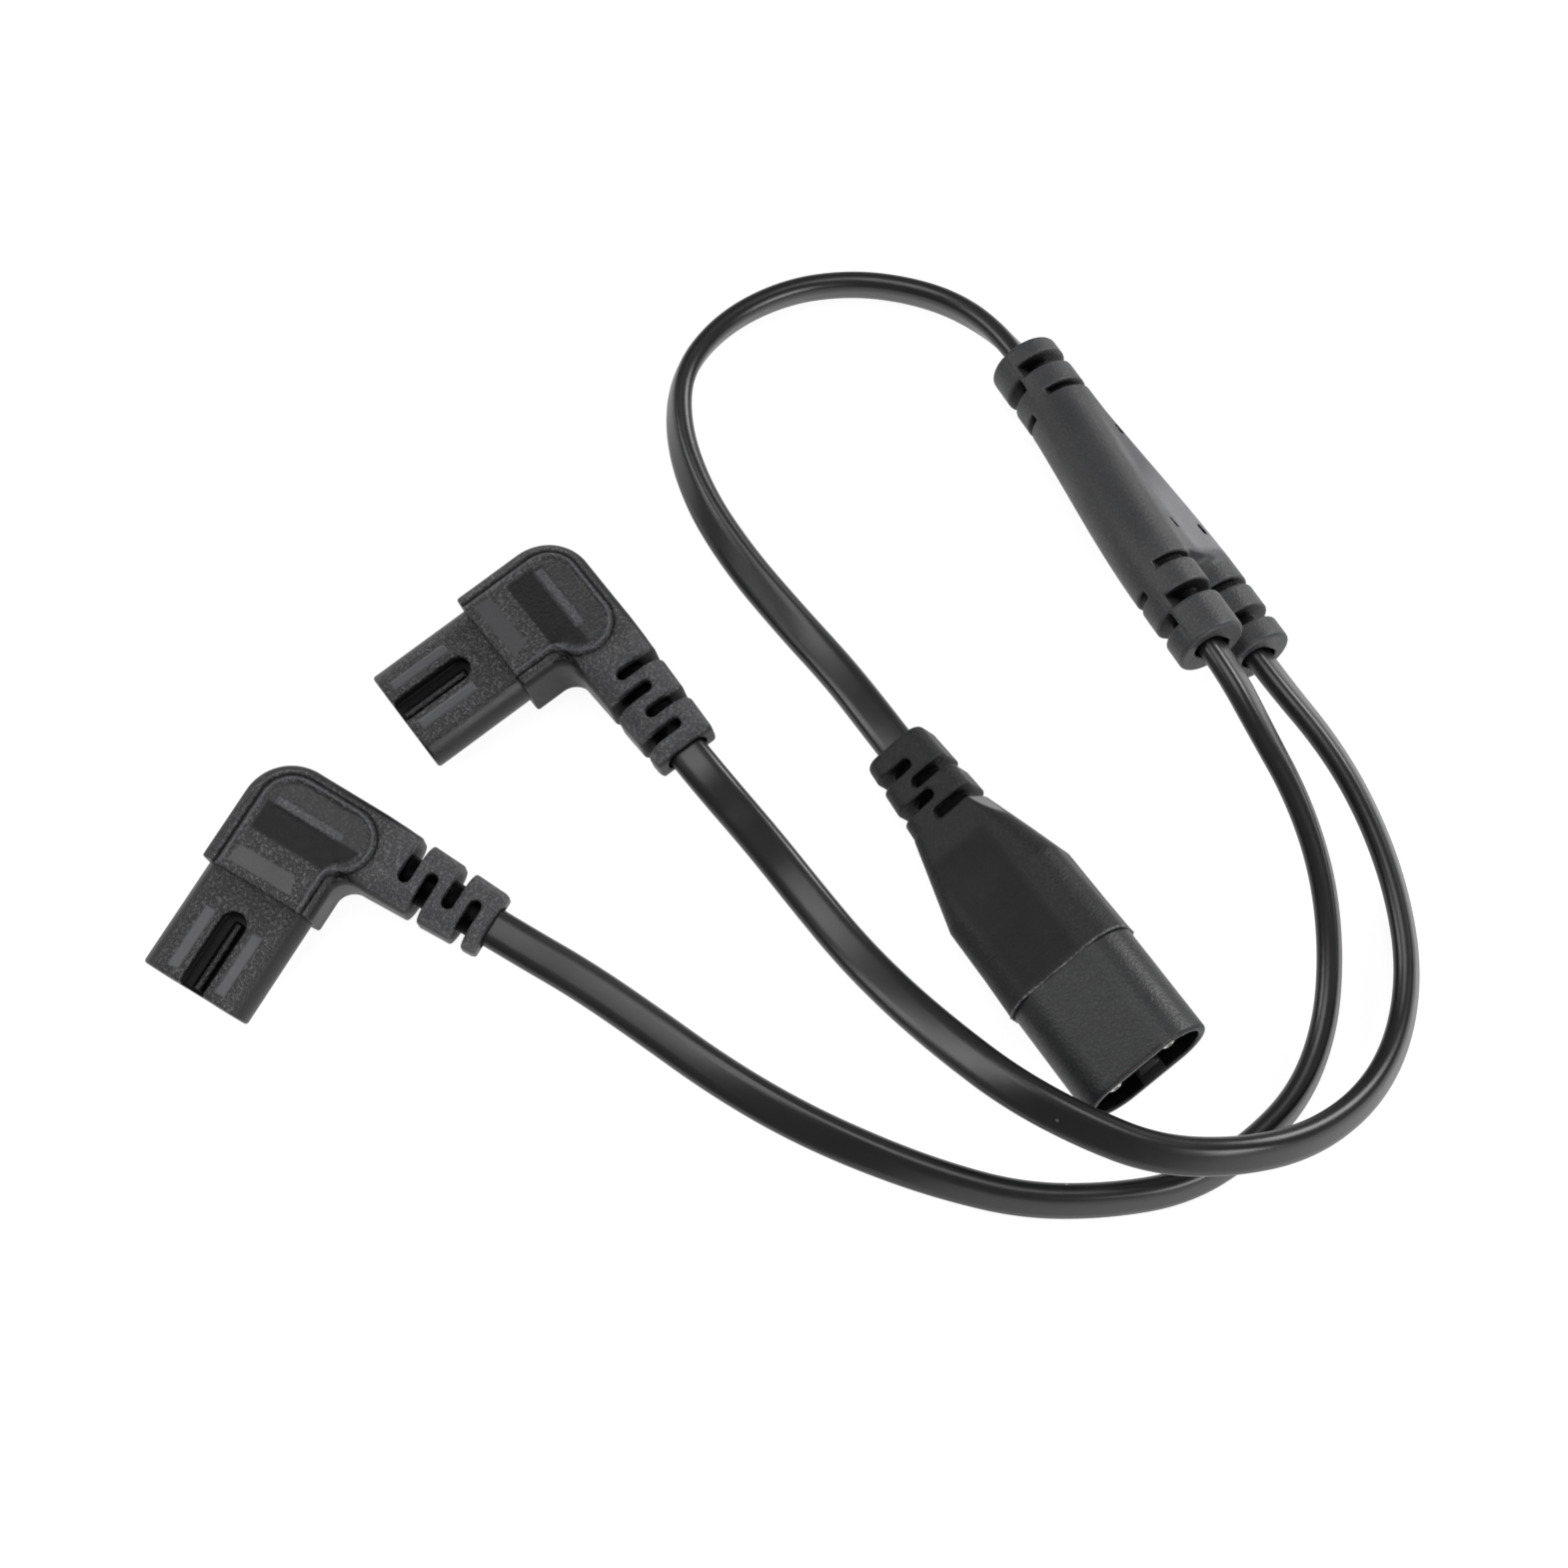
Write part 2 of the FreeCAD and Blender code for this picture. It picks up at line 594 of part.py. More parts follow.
def make_nose(prefix):
    """Figure-eight nose with a keying groove on both broad faces and a tenon into the head."""
    body = new_body(prefix + "_nose")
    outline = new_sketch(body, prefix + "_nose_outline", "YZ_Plane")
    add_oval(outline, "Sizes.nose_width", "Sizes.nose_height")
    pad(body, prefix + "_nose_block", outline, "Sizes.nose_length")
    tenon = new_sketch(body, prefix + "_tenon_outline", "YZ_Plane")
    add_oval(tenon, "(Sizes.nose_width - 2 * Sizes.tenon_margin)",
             "(Sizes.nose_height - Sizes.tenon_margin)")
    pad(body, prefix + "_tenon", tenon, "Sizes.tenon_length", backwards=True)
    round_edges(body, prefix + "_nose_rounding", "Sizes.nose_edge_round",
                lambda edge: edge_lies(edge, "X", size("Sizes.nose_length")))
    for face, sign in (("top", ""), ("bottom", "-")):
        groove = new_sketch(body, "%s_%s_groove_outline" % (prefix, face), "XY_Plane",
                            "%s(Sizes.nose_height / 2)" % sign)
        inner = "Sizes.nose_length - Sizes.groove_length + Sizes.groove_width / 2"
        outer = "Sizes.nose_length + Sizes.groove_width"
        add_stadium(groove, (inner, "0"), (outer, "0"), "Sizes.groove_width / 2")
        pocket(body, "%s_%s_groove" % (prefix, face), groove, "Sizes.groove_depth",
               backwards=face == "bottom")
    entries = new_sketch(body, prefix + "_entry_outline", "YZ_Plane", "Sizes.nose_length")
    chambers = new_sketch(body, prefix + "_chamber_outline", "YZ_Plane",
                          "Sizes.nose_length - Sizes.entry_wall")
    for sign in ("", "-"):
        add_circle(entries, sign + "Sizes.pin_pitch / 2", "0", "Sizes.entry_radius")
        add_circle(chambers, sign + "Sizes.pin_pitch / 2", "0", "Sizes.contact_radius")
    pocket(body, prefix + "_entries", entries, "Sizes.entry_wall * 1.5")
    pocket(body, prefix + "_chambers", chambers, "Sizes.nose_length + Sizes.tenon_length")
    return keep(body, prefix + "_nose", prefix)


def make_contact(prefix, side, offset):
    """Drawn socket for one pin, with a solid tail that takes the conductor."""
    label = "%s_contact_%s" % (prefix, side)
    front = "Sizes.nose_length - Sizes.entry_wall"
    tube = cylinder(label + "_tube", "Sizes.contact_radius",
                    front + " + Sizes.contact_tail", "-Sizes.contact_tail")
    bore = cylinder(label + "_bore", "Sizes.contact_bore",
                    front + " - Sizes.contact_setback", "Sizes.contact_setback")
    return keep(cut(label + "_socket", tube, bore), label, prefix, Vector(0, offset, 0))


def make_outlet_hull(prefix):
    """Outside of an outlet's overmould: head with its raised pad, side neck and strain relief slots."""
    body = new_body(prefix + "_hull")
    depth, half = size("Sizes.head_depth"), size("Sizes.head_half_width")
    inner = NECK_AXIS + " + Sizes.outlet_neck_root_width / 2"
    start = size("Sizes.outlet_neck_start")
    head = new_sketch(body, prefix + "_head_outline", "XY_Plane")
    add_polygon(head, (
        ("-Sizes.head_depth", "-Sizes.head_half_width"), ("0", "-Sizes.head_half_width"),
        ("0", "Sizes.head_half_width"), (inner, "Sizes.head_half_width"),
        (inner, "Sizes.outlet_neck_start"), ("-Sizes.head_depth", "Sizes.outlet_neck_start"),
    ))
    pad(body, prefix + "_head", head, "Sizes.head_height", both_ways=True)
    round_edges(body, prefix + "_head_corner", "Sizes.head_corner",
                lambda edge: edge_lies(edge, "X", -depth) and edge_lies(edge, "Y", -half))
    round_edges(body, prefix + "_head_inner_fillet", "Sizes.head_inner_fillet",
                lambda edge: edge_lies(edge, "X", size(inner)) and edge_lies(edge, "Y", half))
    top = size("Sizes.head_height") / 2
    round_edges(body, prefix + "_head_rounding", "Sizes.head_edge_round", lambda edge: (
        edge_lies(edge, "Z", top) or edge_lies(edge, "Z", -top))
        and not edge_lies(edge, "X", 0) and not edge_lies(edge, "Y", start))
    root = new_sketch(body, prefix + "_neck_root", "XZ_Plane", "-Sizes.outlet_neck_start")
    add_rounded_box(root, "-Sizes.head_depth", inner, "-Sizes.head_height / 2", "Sizes.head_height / 2",
                    "Sizes.head_edge_round")
    tip = new_sketch(body, prefix + "_neck_tip", "XZ_Plane", "-Sizes.outlet_neck_end")
    add_rounded_box(tip, NECK_AXIS + " - Sizes.outlet_neck_tip_width / 2",
                    NECK_AXIS + " + Sizes.outlet_neck_tip_width / 2", "-Sizes.outlet_neck_tip_height / 2",
                    "Sizes.outlet_neck_tip_height / 2", "Sizes.head_edge_round")
    loft(body, prefix + "_neck", root, tip)
    first = "Sizes.outlet_neck_end - Sizes.outlet_slot_first"
    second = first + " - Sizes.outlet_slot_stagger"
    far = "Sizes.outlet_neck_root_width"
    sides = (
        ((NECK_AXIS + " - Sizes.slot_overlap", first), (NECK_AXIS + " + " + far, first)),
        ((NECK_AXIS + " - " + far, second), (NECK_AXIS + " + Sizes.slot_overlap", second)),
    )
    row = neck_slots(body, prefix, "V_Axis", sides, -1)
    row.setExpression("Length", "Sizes.outlet_slot_pitch")
    sleeve = new_sketch(body, prefix + "_sleeve_outline", "XZ_Plane", "-Sizes.outlet_neck_end")
    add_circle(sleeve, NECK_AXIS, "0", "Sizes.cable_width / 2 + Sizes.sleeve_wall / 2")
    pad(body, prefix + "_sleeve", sleeve, "Sizes.outlet_neck_end - Sizes.outlet_neck_start")
    add_plateau(body, prefix)
    return body


def add_lobed_outline(sketch, front, rear, left, right, corner, lobe, lobe_line):
    """Straight front and sides, one round rear corner, and a round lobe that bulges to the right."""
    x0, x1, y0, y1, r, bulge, middle = (
        size(item) for item in (front, rear, left, right, corner, lobe, lobe_line)
    )
    normal = Vector(0, 0, 1)
    rise = math.asin((y1 - middle) / bulge)
    meet = x1 + bulge + bulge * math.cos(rise)
    low = sketch.addGeometry(Part.LineSegment(Vector(x0, y0, 0), Vector(x1 + r, y0, 0)))
    turn = Part.Circle(Vector(x1 + r, y0 + r, 0), normal, r)
    bend = sketch.addGeometry(Part.ArcOfCircle(turn, math.pi, 1.5 * math.pi))
    back = sketch.addGeometry(Part.LineSegment(Vector(x1, y0 + r, 0), Vector(x1, middle, 0)))
    round_lobe = Part.Circle(Vector(x1 + bulge, middle, 0), normal, bulge)
    arc = sketch.addGeometry(Part.ArcOfCircle(round_lobe, rise, math.pi))
    high = sketch.addGeometry(Part.LineSegment(Vector(meet, y1, 0), Vector(x0, y1, 0)))
    near = sketch.addGeometry(Part.LineSegment(Vector(x0, y1, 0), Vector(x0, y0, 0)))
    for kind, *ends in (
        ("Tangent", low, 2, bend, 2), ("Tangent", bend, 1, back, 1), ("Tangent", back, 2, arc, 2),
        ("Coincident", arc, 1, high, 1), ("Coincident", high, 2, near, 1), ("Coincident", near, 2, low, 1),
        ("Horizontal", low), ("Horizontal", high), ("Vertical", back), ("Vertical", near),
    ):
        sketch.addConstraint(Sketcher.Constraint(kind, *ends))
    bind(sketch, "Radius", bend, to=corner)
    bind(sketch, "Radius", arc, to=lobe)
    bind(sketch, "DistanceX", -1, 1, near, 1, to=front)
    bind(sketch, "DistanceX", -1, 1, back, 1, to=rear)
    bind(sketch, "DistanceY", -1, 1, low, 1, to=left)
    bind(sketch, "DistanceY", -1, 1, high, 1, to=right)
    bind(sketch, "DistanceY", -1, 1, arc, 3, to=lobe_line)


def add_plateau(body, prefix):
    """Low raised pad on the head's top, and its shallow recess with a bar left across it."""
    level = "Sizes.head_height / 2"
    outline = new_sketch(body, prefix + "_plateau_outline", "XY_Plane", level + " - Sizes.plateau_height")
    add_lobed_outline(
        outline, "-Sizes.plateau_front", "-Sizes.plateau_rear", "-Sizes.plateau_left",
        "Sizes.plateau_right", "Sizes.plateau_corner", "Sizes.plateau_lobe", "Sizes.plateau_lobe_line",
    )
    pad(body, prefix + "_plateau", outline, "2 * Sizes.plateau_height")
    panel = new_sketch(body, prefix + "_panel_outline", "XY_Plane", level + " + Sizes.plateau_height")
    add_lobed_outline(
        panel, "-Sizes.panel_front", "-Sizes.panel_rear", "-Sizes.panel_left",
        "Sizes.panel_right", "Sizes.panel_corner", "Sizes.panel_lobe", "Sizes.panel_lobe_line",
    )
    pocket(body, prefix + "_panel", panel, "Sizes.panel_depth")
    bar = new_sketch(body, prefix + "_bar_outline", "XY_Plane", level)
    add_polygon(bar, (
        ("-Sizes.panel_bar_near", "-Sizes.panel_bar_left"),
        ("-Sizes.panel_bar_near", "Sizes.panel_bar_right"),
        ("-Sizes.panel_bar_far", "Sizes.panel_bar_right"),
        ("-Sizes.panel_bar_far", "-Sizes.panel_bar_left"),
    ))
    pad(body, prefix + "_bar", bar, "Sizes.plateau_height")


def make_outlet(prefix):
    nose = make_nose(prefix)
    pitch = size("Sizes.pin_pitch") / 2
    contacts = [make_contact(prefix, "left", -pitch), make_contact(prefix, "right", pitch)]
    cores = []
    for side, sign, neck_sign in (("left", "-", "-"), ("right", "", "+")):
        core = corner_core(
            "%s_core_%s" % (prefix, side), "-Sizes.contact_tail", sign + "Sizes.pin_pitch / 2",
            "%s %s Sizes.core_pitch / 2" % (NECK_AXIS, neck_sign), "Sizes.outlet_neck_end",
            "Sizes.core_bend",
        )
        cores.append(keep(core, "%s_core_%s" % (prefix, side), prefix))
    hull = make_outlet_hull(prefix)
    hull.Placement = pose(prefix)
    inside = fuse(prefix + "_inside", nose, *contacts, *cores)
    keep(cut(prefix + "_moulding", hull, inside), prefix + "_overmould")


# Splitter: overmould, splices and cores

def ring_slots(body, name, side, outer, inner, centre, reach):
    """Slots on one side of a round neck: a wide deep one near its end, a narrow shallow one behind."""
    sign = "" if side > 0 else "-"
    for label, station, width, floor in (
        ("outer", outer, "Sizes.splitter_slot_wide", "Sizes.splitter_slot_rib"),
        ("inner", inner, "Sizes.splitter_slot_narrow", "Sizes.splitter_slot_shallow"),
    ):
        sketch = new_sketch(body, "%s_%s_outline" % (name, label), "YZ_Plane", station)
        left, right = "%s - %s" % (centre, reach), "%s + %s" % (centre, reach)
        near, far = sign + floor, sign + "Sizes.trunk_radius * 1.4"
        add_polygon(sketch, ((left, near), (right, near), (right, far), (left, far)))
        pocket(body, "%s_%s_slot" % (name, label), sketch, width, both_ways=True)


def make_splitter_hull():
    """Outside of the splitter: round trunk, widening body with a relieved web, two round branches."""
    body = new_body("splitter_hull")
    trunk = new_sketch(body, "trunk_outline", "YZ_Plane")
    add_circle(trunk, "0", "0", "Sizes.trunk_radius")
    pad(body, "trunk", trunk, "Sizes.trunk_length")
    fork_start = new_sketch(body, "fork_start", "YZ_Plane", "Sizes.trunk_length - 1")
    add_oval(fork_start, "(2 * Sizes.trunk_radius + 0.6)", "(2 * Sizes.trunk_radius + 0.2)")
    fork_end = new_sketch(body, "fork_end", "YZ_Plane", "Sizes.crotch_station")
    add_oval(fork_end, "(Sizes.branch_spacing + 2 * Sizes.branch_radius)", "(2 * Sizes.branch_radius)")
    loft(body, "fork", fork_start, fork_end)
    branches = new_sketch(body, "branch_outline", "YZ_Plane", "Sizes.crotch_station")
    for sign in ("", "-"):
        add_circle(branches, sign + "Sizes.branch_spacing / 2", "0", "Sizes.branch_radius")
    pad(body, "branches", branches, "Sizes.splitter_length - Sizes.crotch_station")
    for face, sign in (("upper", ""), ("lower", "-")):
        relief = new_sketch(body, face + "_relief_outline", "XY_Plane", "%s(Sizes.trunk_radius)" % sign)
        add_polygon(relief, (
            ("Sizes.web_relief_start", "0"), ("Sizes.crotch_station + 1", "-Sizes.web_relief_half_width"),
            ("Sizes.crotch_station + 1", "Sizes.web_relief_half_width"),
        ))
        pocket(body, face + "_relief", relief, "Sizes.web_relief_depth", backwards=face == "lower")
    ends = (0, size("Sizes.splitter_length"))
    round_edges(body, "splitter_end_rounding", "2 * Sizes.mouth_round",
                lambda edge: any(edge_lies(edge, "X", end) for end in ends))
    first, step = "Sizes.splitter_slot_first", "Sizes.splitter_slot_pitch"
    second = first + " + Sizes.splitter_slot_stagger"
    wide = "2 * Sizes.trunk_radius"
    for face, side, station in (("upper", 1, first), ("lower", -1, second)):
        ring_slots(body, "trunk_" + face, side, station, "%s + %s" % (station, step), "0", wide)
    reach = "Sizes.branch_spacing / 2"
    for label, sign, upper, lower in (("left", "", second, first), ("right", "-", first, second)):
        for face, side, station in (("upper", 1, upper), ("lower", -1, lower)):
            outer = "Sizes.splitter_length - (%s)" % station
            ring_slots(body, "%s_branch_%s" % (label, face), side, outer, "%s - %s" % (outer, step),
                       sign + reach, reach)
    sleeve = new_sketch(body, "trunk_sleeve_outline", "YZ_Plane")
    add_circle(sleeve, "0", "0", "Sizes.cable_width / 2 + Sizes.sleeve_wall / 2")
    pad(body, "trunk_sleeve", sleeve, "Sizes.trunk_length")
    sleeves = new_sketch(body, "branch_sleeve_outline", "YZ_Plane", "Sizes.splitter_length")
    for sign in ("", "-"):
        add_circle(sleeves, sign + "Sizes.branch_spacing / 2", "0",
                   "Sizes.cable_width / 2 + Sizes.sleeve_wall / 2")
    pad(body, "branch_sleeves", sleeves, "Sizes.splitter_length - Sizes.crotch_station", backwards=True)
    return body


ALONG_X = Placement(Vector(), Rotation(Vector(0, 0, 1), Vector(1, 0, 0)))


def make_splitter():
    hull = make_splitter_hull()
    inside = []
    splice_end = "(Sizes.splice_start + Sizes.splice_length)"
    half_pitch = size("Sizes.core_pitch") / 2
    for pole, height in (("upper", half_pitch), ("lower", -half_pitch)):
        lift = Vector(0, 0, height)
        feed = cylinder("splitter_feed_core_" + pole, "Sizes.core_radius", "Sizes.splice_start")
        inside.append(keep(feed, "splitter_feed_core_" + pole, "splitter", lift))
        feed.Placement = feed.Placement * ALONG_X
        splice = cylinder("splitter_splice_" + pole, "Sizes.splice_radius", "Sizes.splice_length")
        spot = lift + Vector(size("Sizes.splice_start"), 0, 0)
        inside.append(keep(splice, "splitter_splice_" + pole, "splitter", spot))
        splice.Placement = splice.Placement * ALONG_X
        for side, sign in (("left", ""), ("right", "-")):
            name = "splitter_%s_core_%s" % (side, pole)
            stub = "(Sizes.splitter_length - %s - Sizes.splice_spread) / 2" % splice_end
            core = spread_core(name, splice_end, sign + "Sizes.splice_core_offset",
                               "Sizes.splitter_length", sign + "Sizes.branch_spacing / 2", stub)
            inside.append(keep(core, name, "splitter", lift))
    hull.Placement = pose("splitter")
    keep(cut("splitter_moulding", hull, fuse("splitter_inside", *inside)), "splitter_overmould")


# Cables: straight runs joined by tangent arcs, from end face to end face

ROUTES = {
    # inlet to splitter
    "feed_cable": (
        (21.9, 19.0, 2.9), (20.8, 29.1, 2.9), (20.1, 39.5, 2.9), (20.5, 49.9, 2.9),
        (23.1, 59.7, 2.9), (29.1, 67.7, 2.9), (38.0, 72.1, 2.9), (47.9, 72.7, 2.9),
        (57.1, 69.7, 2.9), (64.7, 63.9, 3.1), (68.9, 56.9, 3.6),
    ),
    # left branch of the splitter to the lower outlet
    "inner_cable": (
        (59.5, -26.3, 16.8), (59.0, -35.2, 13.0), (56.9, -43.7, 8.2), (52.8, -51.6, 4.4),
        (46.7, -58.7, 2.9), (38.8, -63.8, 2.9), (29.9, -65.8, 2.9), (20.5, -65.3, 2.9),
        (11.6, -61.9, 2.9), (3.1, -56.5, 2.9), (-4.2, -49.4, 2.9), (-10.5, -41.1, 2.9),
        (-16.1, -32.3, 2.9), (-20.8, -22.9, 2.9), (-24.9, -13.1, 2.9), (-28.8, -3.5, 3.1),
    ),
    # right branch of the splitter to the upper outlet, over the inner cable
    "outer_cable": (
        (69.6, -28.9, 7.2), (68.8, -38.9, 4.8), (65.8, -48.9, 3.0), (60.8, -58.0, 3.0),
        (53.6, -65.2, 5.2), (44.5, -69.4, 8.8), (34.6, -70.7, 12.0), (24.1, -68.7, 13.7),
        (14.7, -63.6, 13.8), (8.2, -55.5, 12.2), (5.1, -45.5, 9.0), (3.5, -35.3, 5.6),
        (2.8, -25.1, 3.4), (2.0, -15.5, 3.2), (0.2, -6.5, 5.2), (-1.5, 2.1, 8.4),
    ),
}


def route_shape(points, radius):
    """Round tube along straight runs, each corner an arc as large as its two runs allow."""
    edges = []
    at = points[0]
    radii = []
    for before, corner, after in zip(points, points[1:], points[2:]):
        back, ahead = (before - corner), (after - corner)
        turn = math.pi - back.getAngle(ahead)
        trim = 0.45 * min(back.Length, ahead.Length)
        radii.append(trim / math.tan(turn / 2))
        first = corner + back.normalize() * trim
        last = corner + ahead.normalize() * trim
        bisector = (back + ahead).normalize()
        middle = corner + bisector * (radii[-1] / math.cos(turn / 2) - radii[-1])
        edges.append(Part.LineSegment(at, first).toShape())
        edges.append(Part.Arc(first, middle, last).toShape())
        at = last
    edges.append(Part.LineSegment(at, points[-1]).toShape())
    wire = Part.Wire(edges)
    start_way = (points[1] - points[0]).normalize()
    profile = Part.Wire(Part.Circle(points[0], start_way, radius).toShape())
    tube = wire.makePipeShell([profile], True, True)
    return tube, wire.Length, radii


def make_cable(label, start, end):
    """Cable between the end faces of two mouldings; start and end are (point, way out) pairs."""
    radius = size("Sizes.cable_width / 2")
    lead = 2.4 * radius
    points = [start[0], start[0] + start[1] * lead]
    points += [Vector(*spot) for spot in ROUTES[label]]
    points += [end[0] + end[1] * lead, end[0]]
    tube, length, radii = route_shape(points, radius)
    ratio = tube.Volume / (math.pi * radius**2 * length)
    print("%s: %.1f mm long, volume over section times length %.4f, least radius %.1f mm, radii %s"
          % (label, length, ratio, min(radii), " ".join("%.0f" % item for item in radii)))
    cable = DOC.addObject("Part::Feature", label)
    cable.Shape = tube
    return keep(cable, label)


def exit_of(component, spot, way):
    """World point and direction of a cable's exit from a component's local frame."""
    place = pose(component)
    return place.multVec(Vector(*spot)), place.Rotation.multVec(Vector(*way))


def make_cables():
    inlet_end = size(INLET_END)
    length = size("Sizes.splitter_length")
    side = size("Sizes.branch_spacing") / 2
    neck = (-size("Sizes.outlet_neck_axis"), size("Sizes.outlet_neck_end"), 0)
    make_cable("feed_cable", exit_of("inlet", (-inlet_end, 0, 0), (-1, 0, 0)),
               exit_of("splitter", (0, 0, 0), (-1, 0, 0)))
    for label, offset, outlet in (("inner_cable", side, "outlet_a"), ("outer_cable", -side, "outlet_b")):
        branch = exit_of("splitter", (length, offset, 0), (1, 0, 0))
        make_cable(label, branch, exit_of(outlet, neck, (0, 1, 0)))


def check_and_write():
    """Stop on any failed object, then write one STEP file per sub-part."""
    DOC.recompute()
    for item in DOC.Objects:
        if "Invalid" in item.State or "Error" in item.State:
            raise ValueError("%s failed: %s" % (item.Label, item.State))
    os.makedirs("parts", exist_ok=True)
    for item in SUBPARTS:
        if item.Shape.isNull() or not item.Shape.isValid():
            raise ValueError("%s has no valid shape" % item.Label)
        item.Shape.exportStep("parts/%s.step" % item.Label)
        print("%-28s %9.1f mm3, %d solid(s)" % (item.Label, item.Shape.Volume, len(item.Shape.Solids)))


write_sheet()
make_inlet()
make_splitter()
for which in ("outlet_a", "outlet_b"):
    make_outlet(which)
make_cables()
check_and_write()
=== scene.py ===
import functools
import itertools
import math

import bpy
import numpy as np
from mathutils import Euler, Matrix, Vector


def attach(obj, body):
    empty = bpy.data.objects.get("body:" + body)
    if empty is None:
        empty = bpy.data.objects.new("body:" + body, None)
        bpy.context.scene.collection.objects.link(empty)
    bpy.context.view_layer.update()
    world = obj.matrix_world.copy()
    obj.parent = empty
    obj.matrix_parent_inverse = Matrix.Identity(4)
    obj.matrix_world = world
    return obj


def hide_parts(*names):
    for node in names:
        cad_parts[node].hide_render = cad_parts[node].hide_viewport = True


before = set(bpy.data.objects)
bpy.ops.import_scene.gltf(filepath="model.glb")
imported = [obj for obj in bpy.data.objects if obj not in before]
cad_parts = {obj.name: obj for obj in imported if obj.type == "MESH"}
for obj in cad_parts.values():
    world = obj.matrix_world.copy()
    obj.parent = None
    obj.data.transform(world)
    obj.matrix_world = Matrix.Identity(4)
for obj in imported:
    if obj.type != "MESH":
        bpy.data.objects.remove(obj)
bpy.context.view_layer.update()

# The Y-splitter lead as it lies on a white table. Blender works in metres. The form of each moulding is
# written in that moulding's own frame, in millimetres, with z = 0 as its middle plane.

MM = 0.001


# Place of each moulding: x, y, z in millimetres, then yaw, pitch, roll in degrees
POSES = {
    "inlet": (22.16, -51.96, 11.49, -90, -7, 24),
    "splitter": (69.76, 44.04, 5.14, -94.7, -7.2, 129.9),
    "outlet_a": (-58.74, 30.64, 6.25, -154.2, 6.2, -6.6),
    "outlet_b": (-15.84, 43.04, 6.22, -176.2, 6.8, 3.6),
}


def place(moulding):
    """Matrix from a moulding's own millimetres to the scene's metres."""
    x, y, z, yaw, pitch, roll = POSES[moulding]
    turn = Euler([math.radians(angle) for angle in (roll, pitch, yaw)], "XYZ").to_matrix().to_4x4()
    return Matrix.Translation(Vector((x, y, z)) * MM) @ turn @ Matrix.Scale(MM, 4)


def put(name, data):
    """New object, linked to the scene."""
    thing = bpy.data.objects.new(name, data)
    bpy.context.scene.collection.objects.link(thing)
    return thing


def face_towards(thing, spot, aim):
    """Set a camera or a lamp at spot, looking at aim."""
    thing.location = spot
    thing.rotation_euler = (Vector(aim) - Vector(spot)).to_track_quat("-Z", "Y").to_euler()


def smooth(mesh):
    mesh.polygons.foreach_set("use_smooth", [True] * len(mesh.polygons))


# Camera: 69 degrees above the table, as in the photo

EYE = Vector((-58.70, -93.65, 317.42)) * MM
AIM = Vector((7.66, 8.54, 0)) * MM
SENSOR_WIDTH = 36
FOCAL_LENGTH = 58.1
NEAR_CLIP = 0.01


def make_camera():
    data = bpy.data.cameras.new("view")
    data.sensor_width = SENSOR_WIDTH
    data.lens = FOCAL_LENGTH
    data.clip_start = NEAR_CLIP
    camera = put("view", data)
    face_towards(camera, EYE, AIM)
    bpy.context.scene.camera = camera


make_camera()


# Materials. Noise scales are per metre: 160 gives mottles of about 6 mm and 2600 a grain of 0.4 mm.

class Nodes:
    """Helpers that add nodes to a tree. A value is a number, a colour or another node's output."""

    def __init__(self, tree):
        self.tree = tree

    def feed(self, socket, value):
        if isinstance(value, bpy.types.NodeSocket):
            self.tree.links.new(value, socket)
        else:
            socket.default_value = value

    def node(self, kind, **inputs):
        made = self.tree.nodes.new(kind)
        for key, value in inputs.items():
            self.feed(made.inputs[key], value)
        return made

    def calc(self, operation, a, b, c=0.0):
        made = self.tree.nodes.new("ShaderNodeMath")
        made.operation = operation
        for socket, value in zip(made.inputs, (a, b, c)):
            self.feed(socket, value)
        return made.outputs[0]

    def span(self, value, low, high, to_low, to_high):
        made = self.tree.nodes.new("ShaderNodeMapRange")
        for key, number in (("Value", value), ("From Min", low), ("From Max", high),
                            ("To Min", to_low), ("To Max", to_high)):
            self.feed(made.inputs[key], number)
        return made.outputs["Result"]

    def blend(self, factor, a, b):
        made = self.tree.nodes.new("ShaderNodeMix")
        made.data_type = "RGBA"
        self.feed(made.inputs["Factor"], factor)
        self.feed(made.inputs["A"], (*a, 1) if isinstance(a, tuple) else a)
        self.feed(made.inputs["B"], (*b, 1) if isinstance(b, tuple) else b)
        return made.outputs["Result"]

    def in_view(self, glossy_share):
        """Two outputs: 1 for camera rays, and the same with glossy_share for glossy rays."""
        path = self.node("ShaderNodeLightPath")
        camera = path.outputs["Is Camera Ray"]
        return camera, self.calc("MULTIPLY_ADD", path.outputs["Is Glossy Ray"], glossy_share, camera)


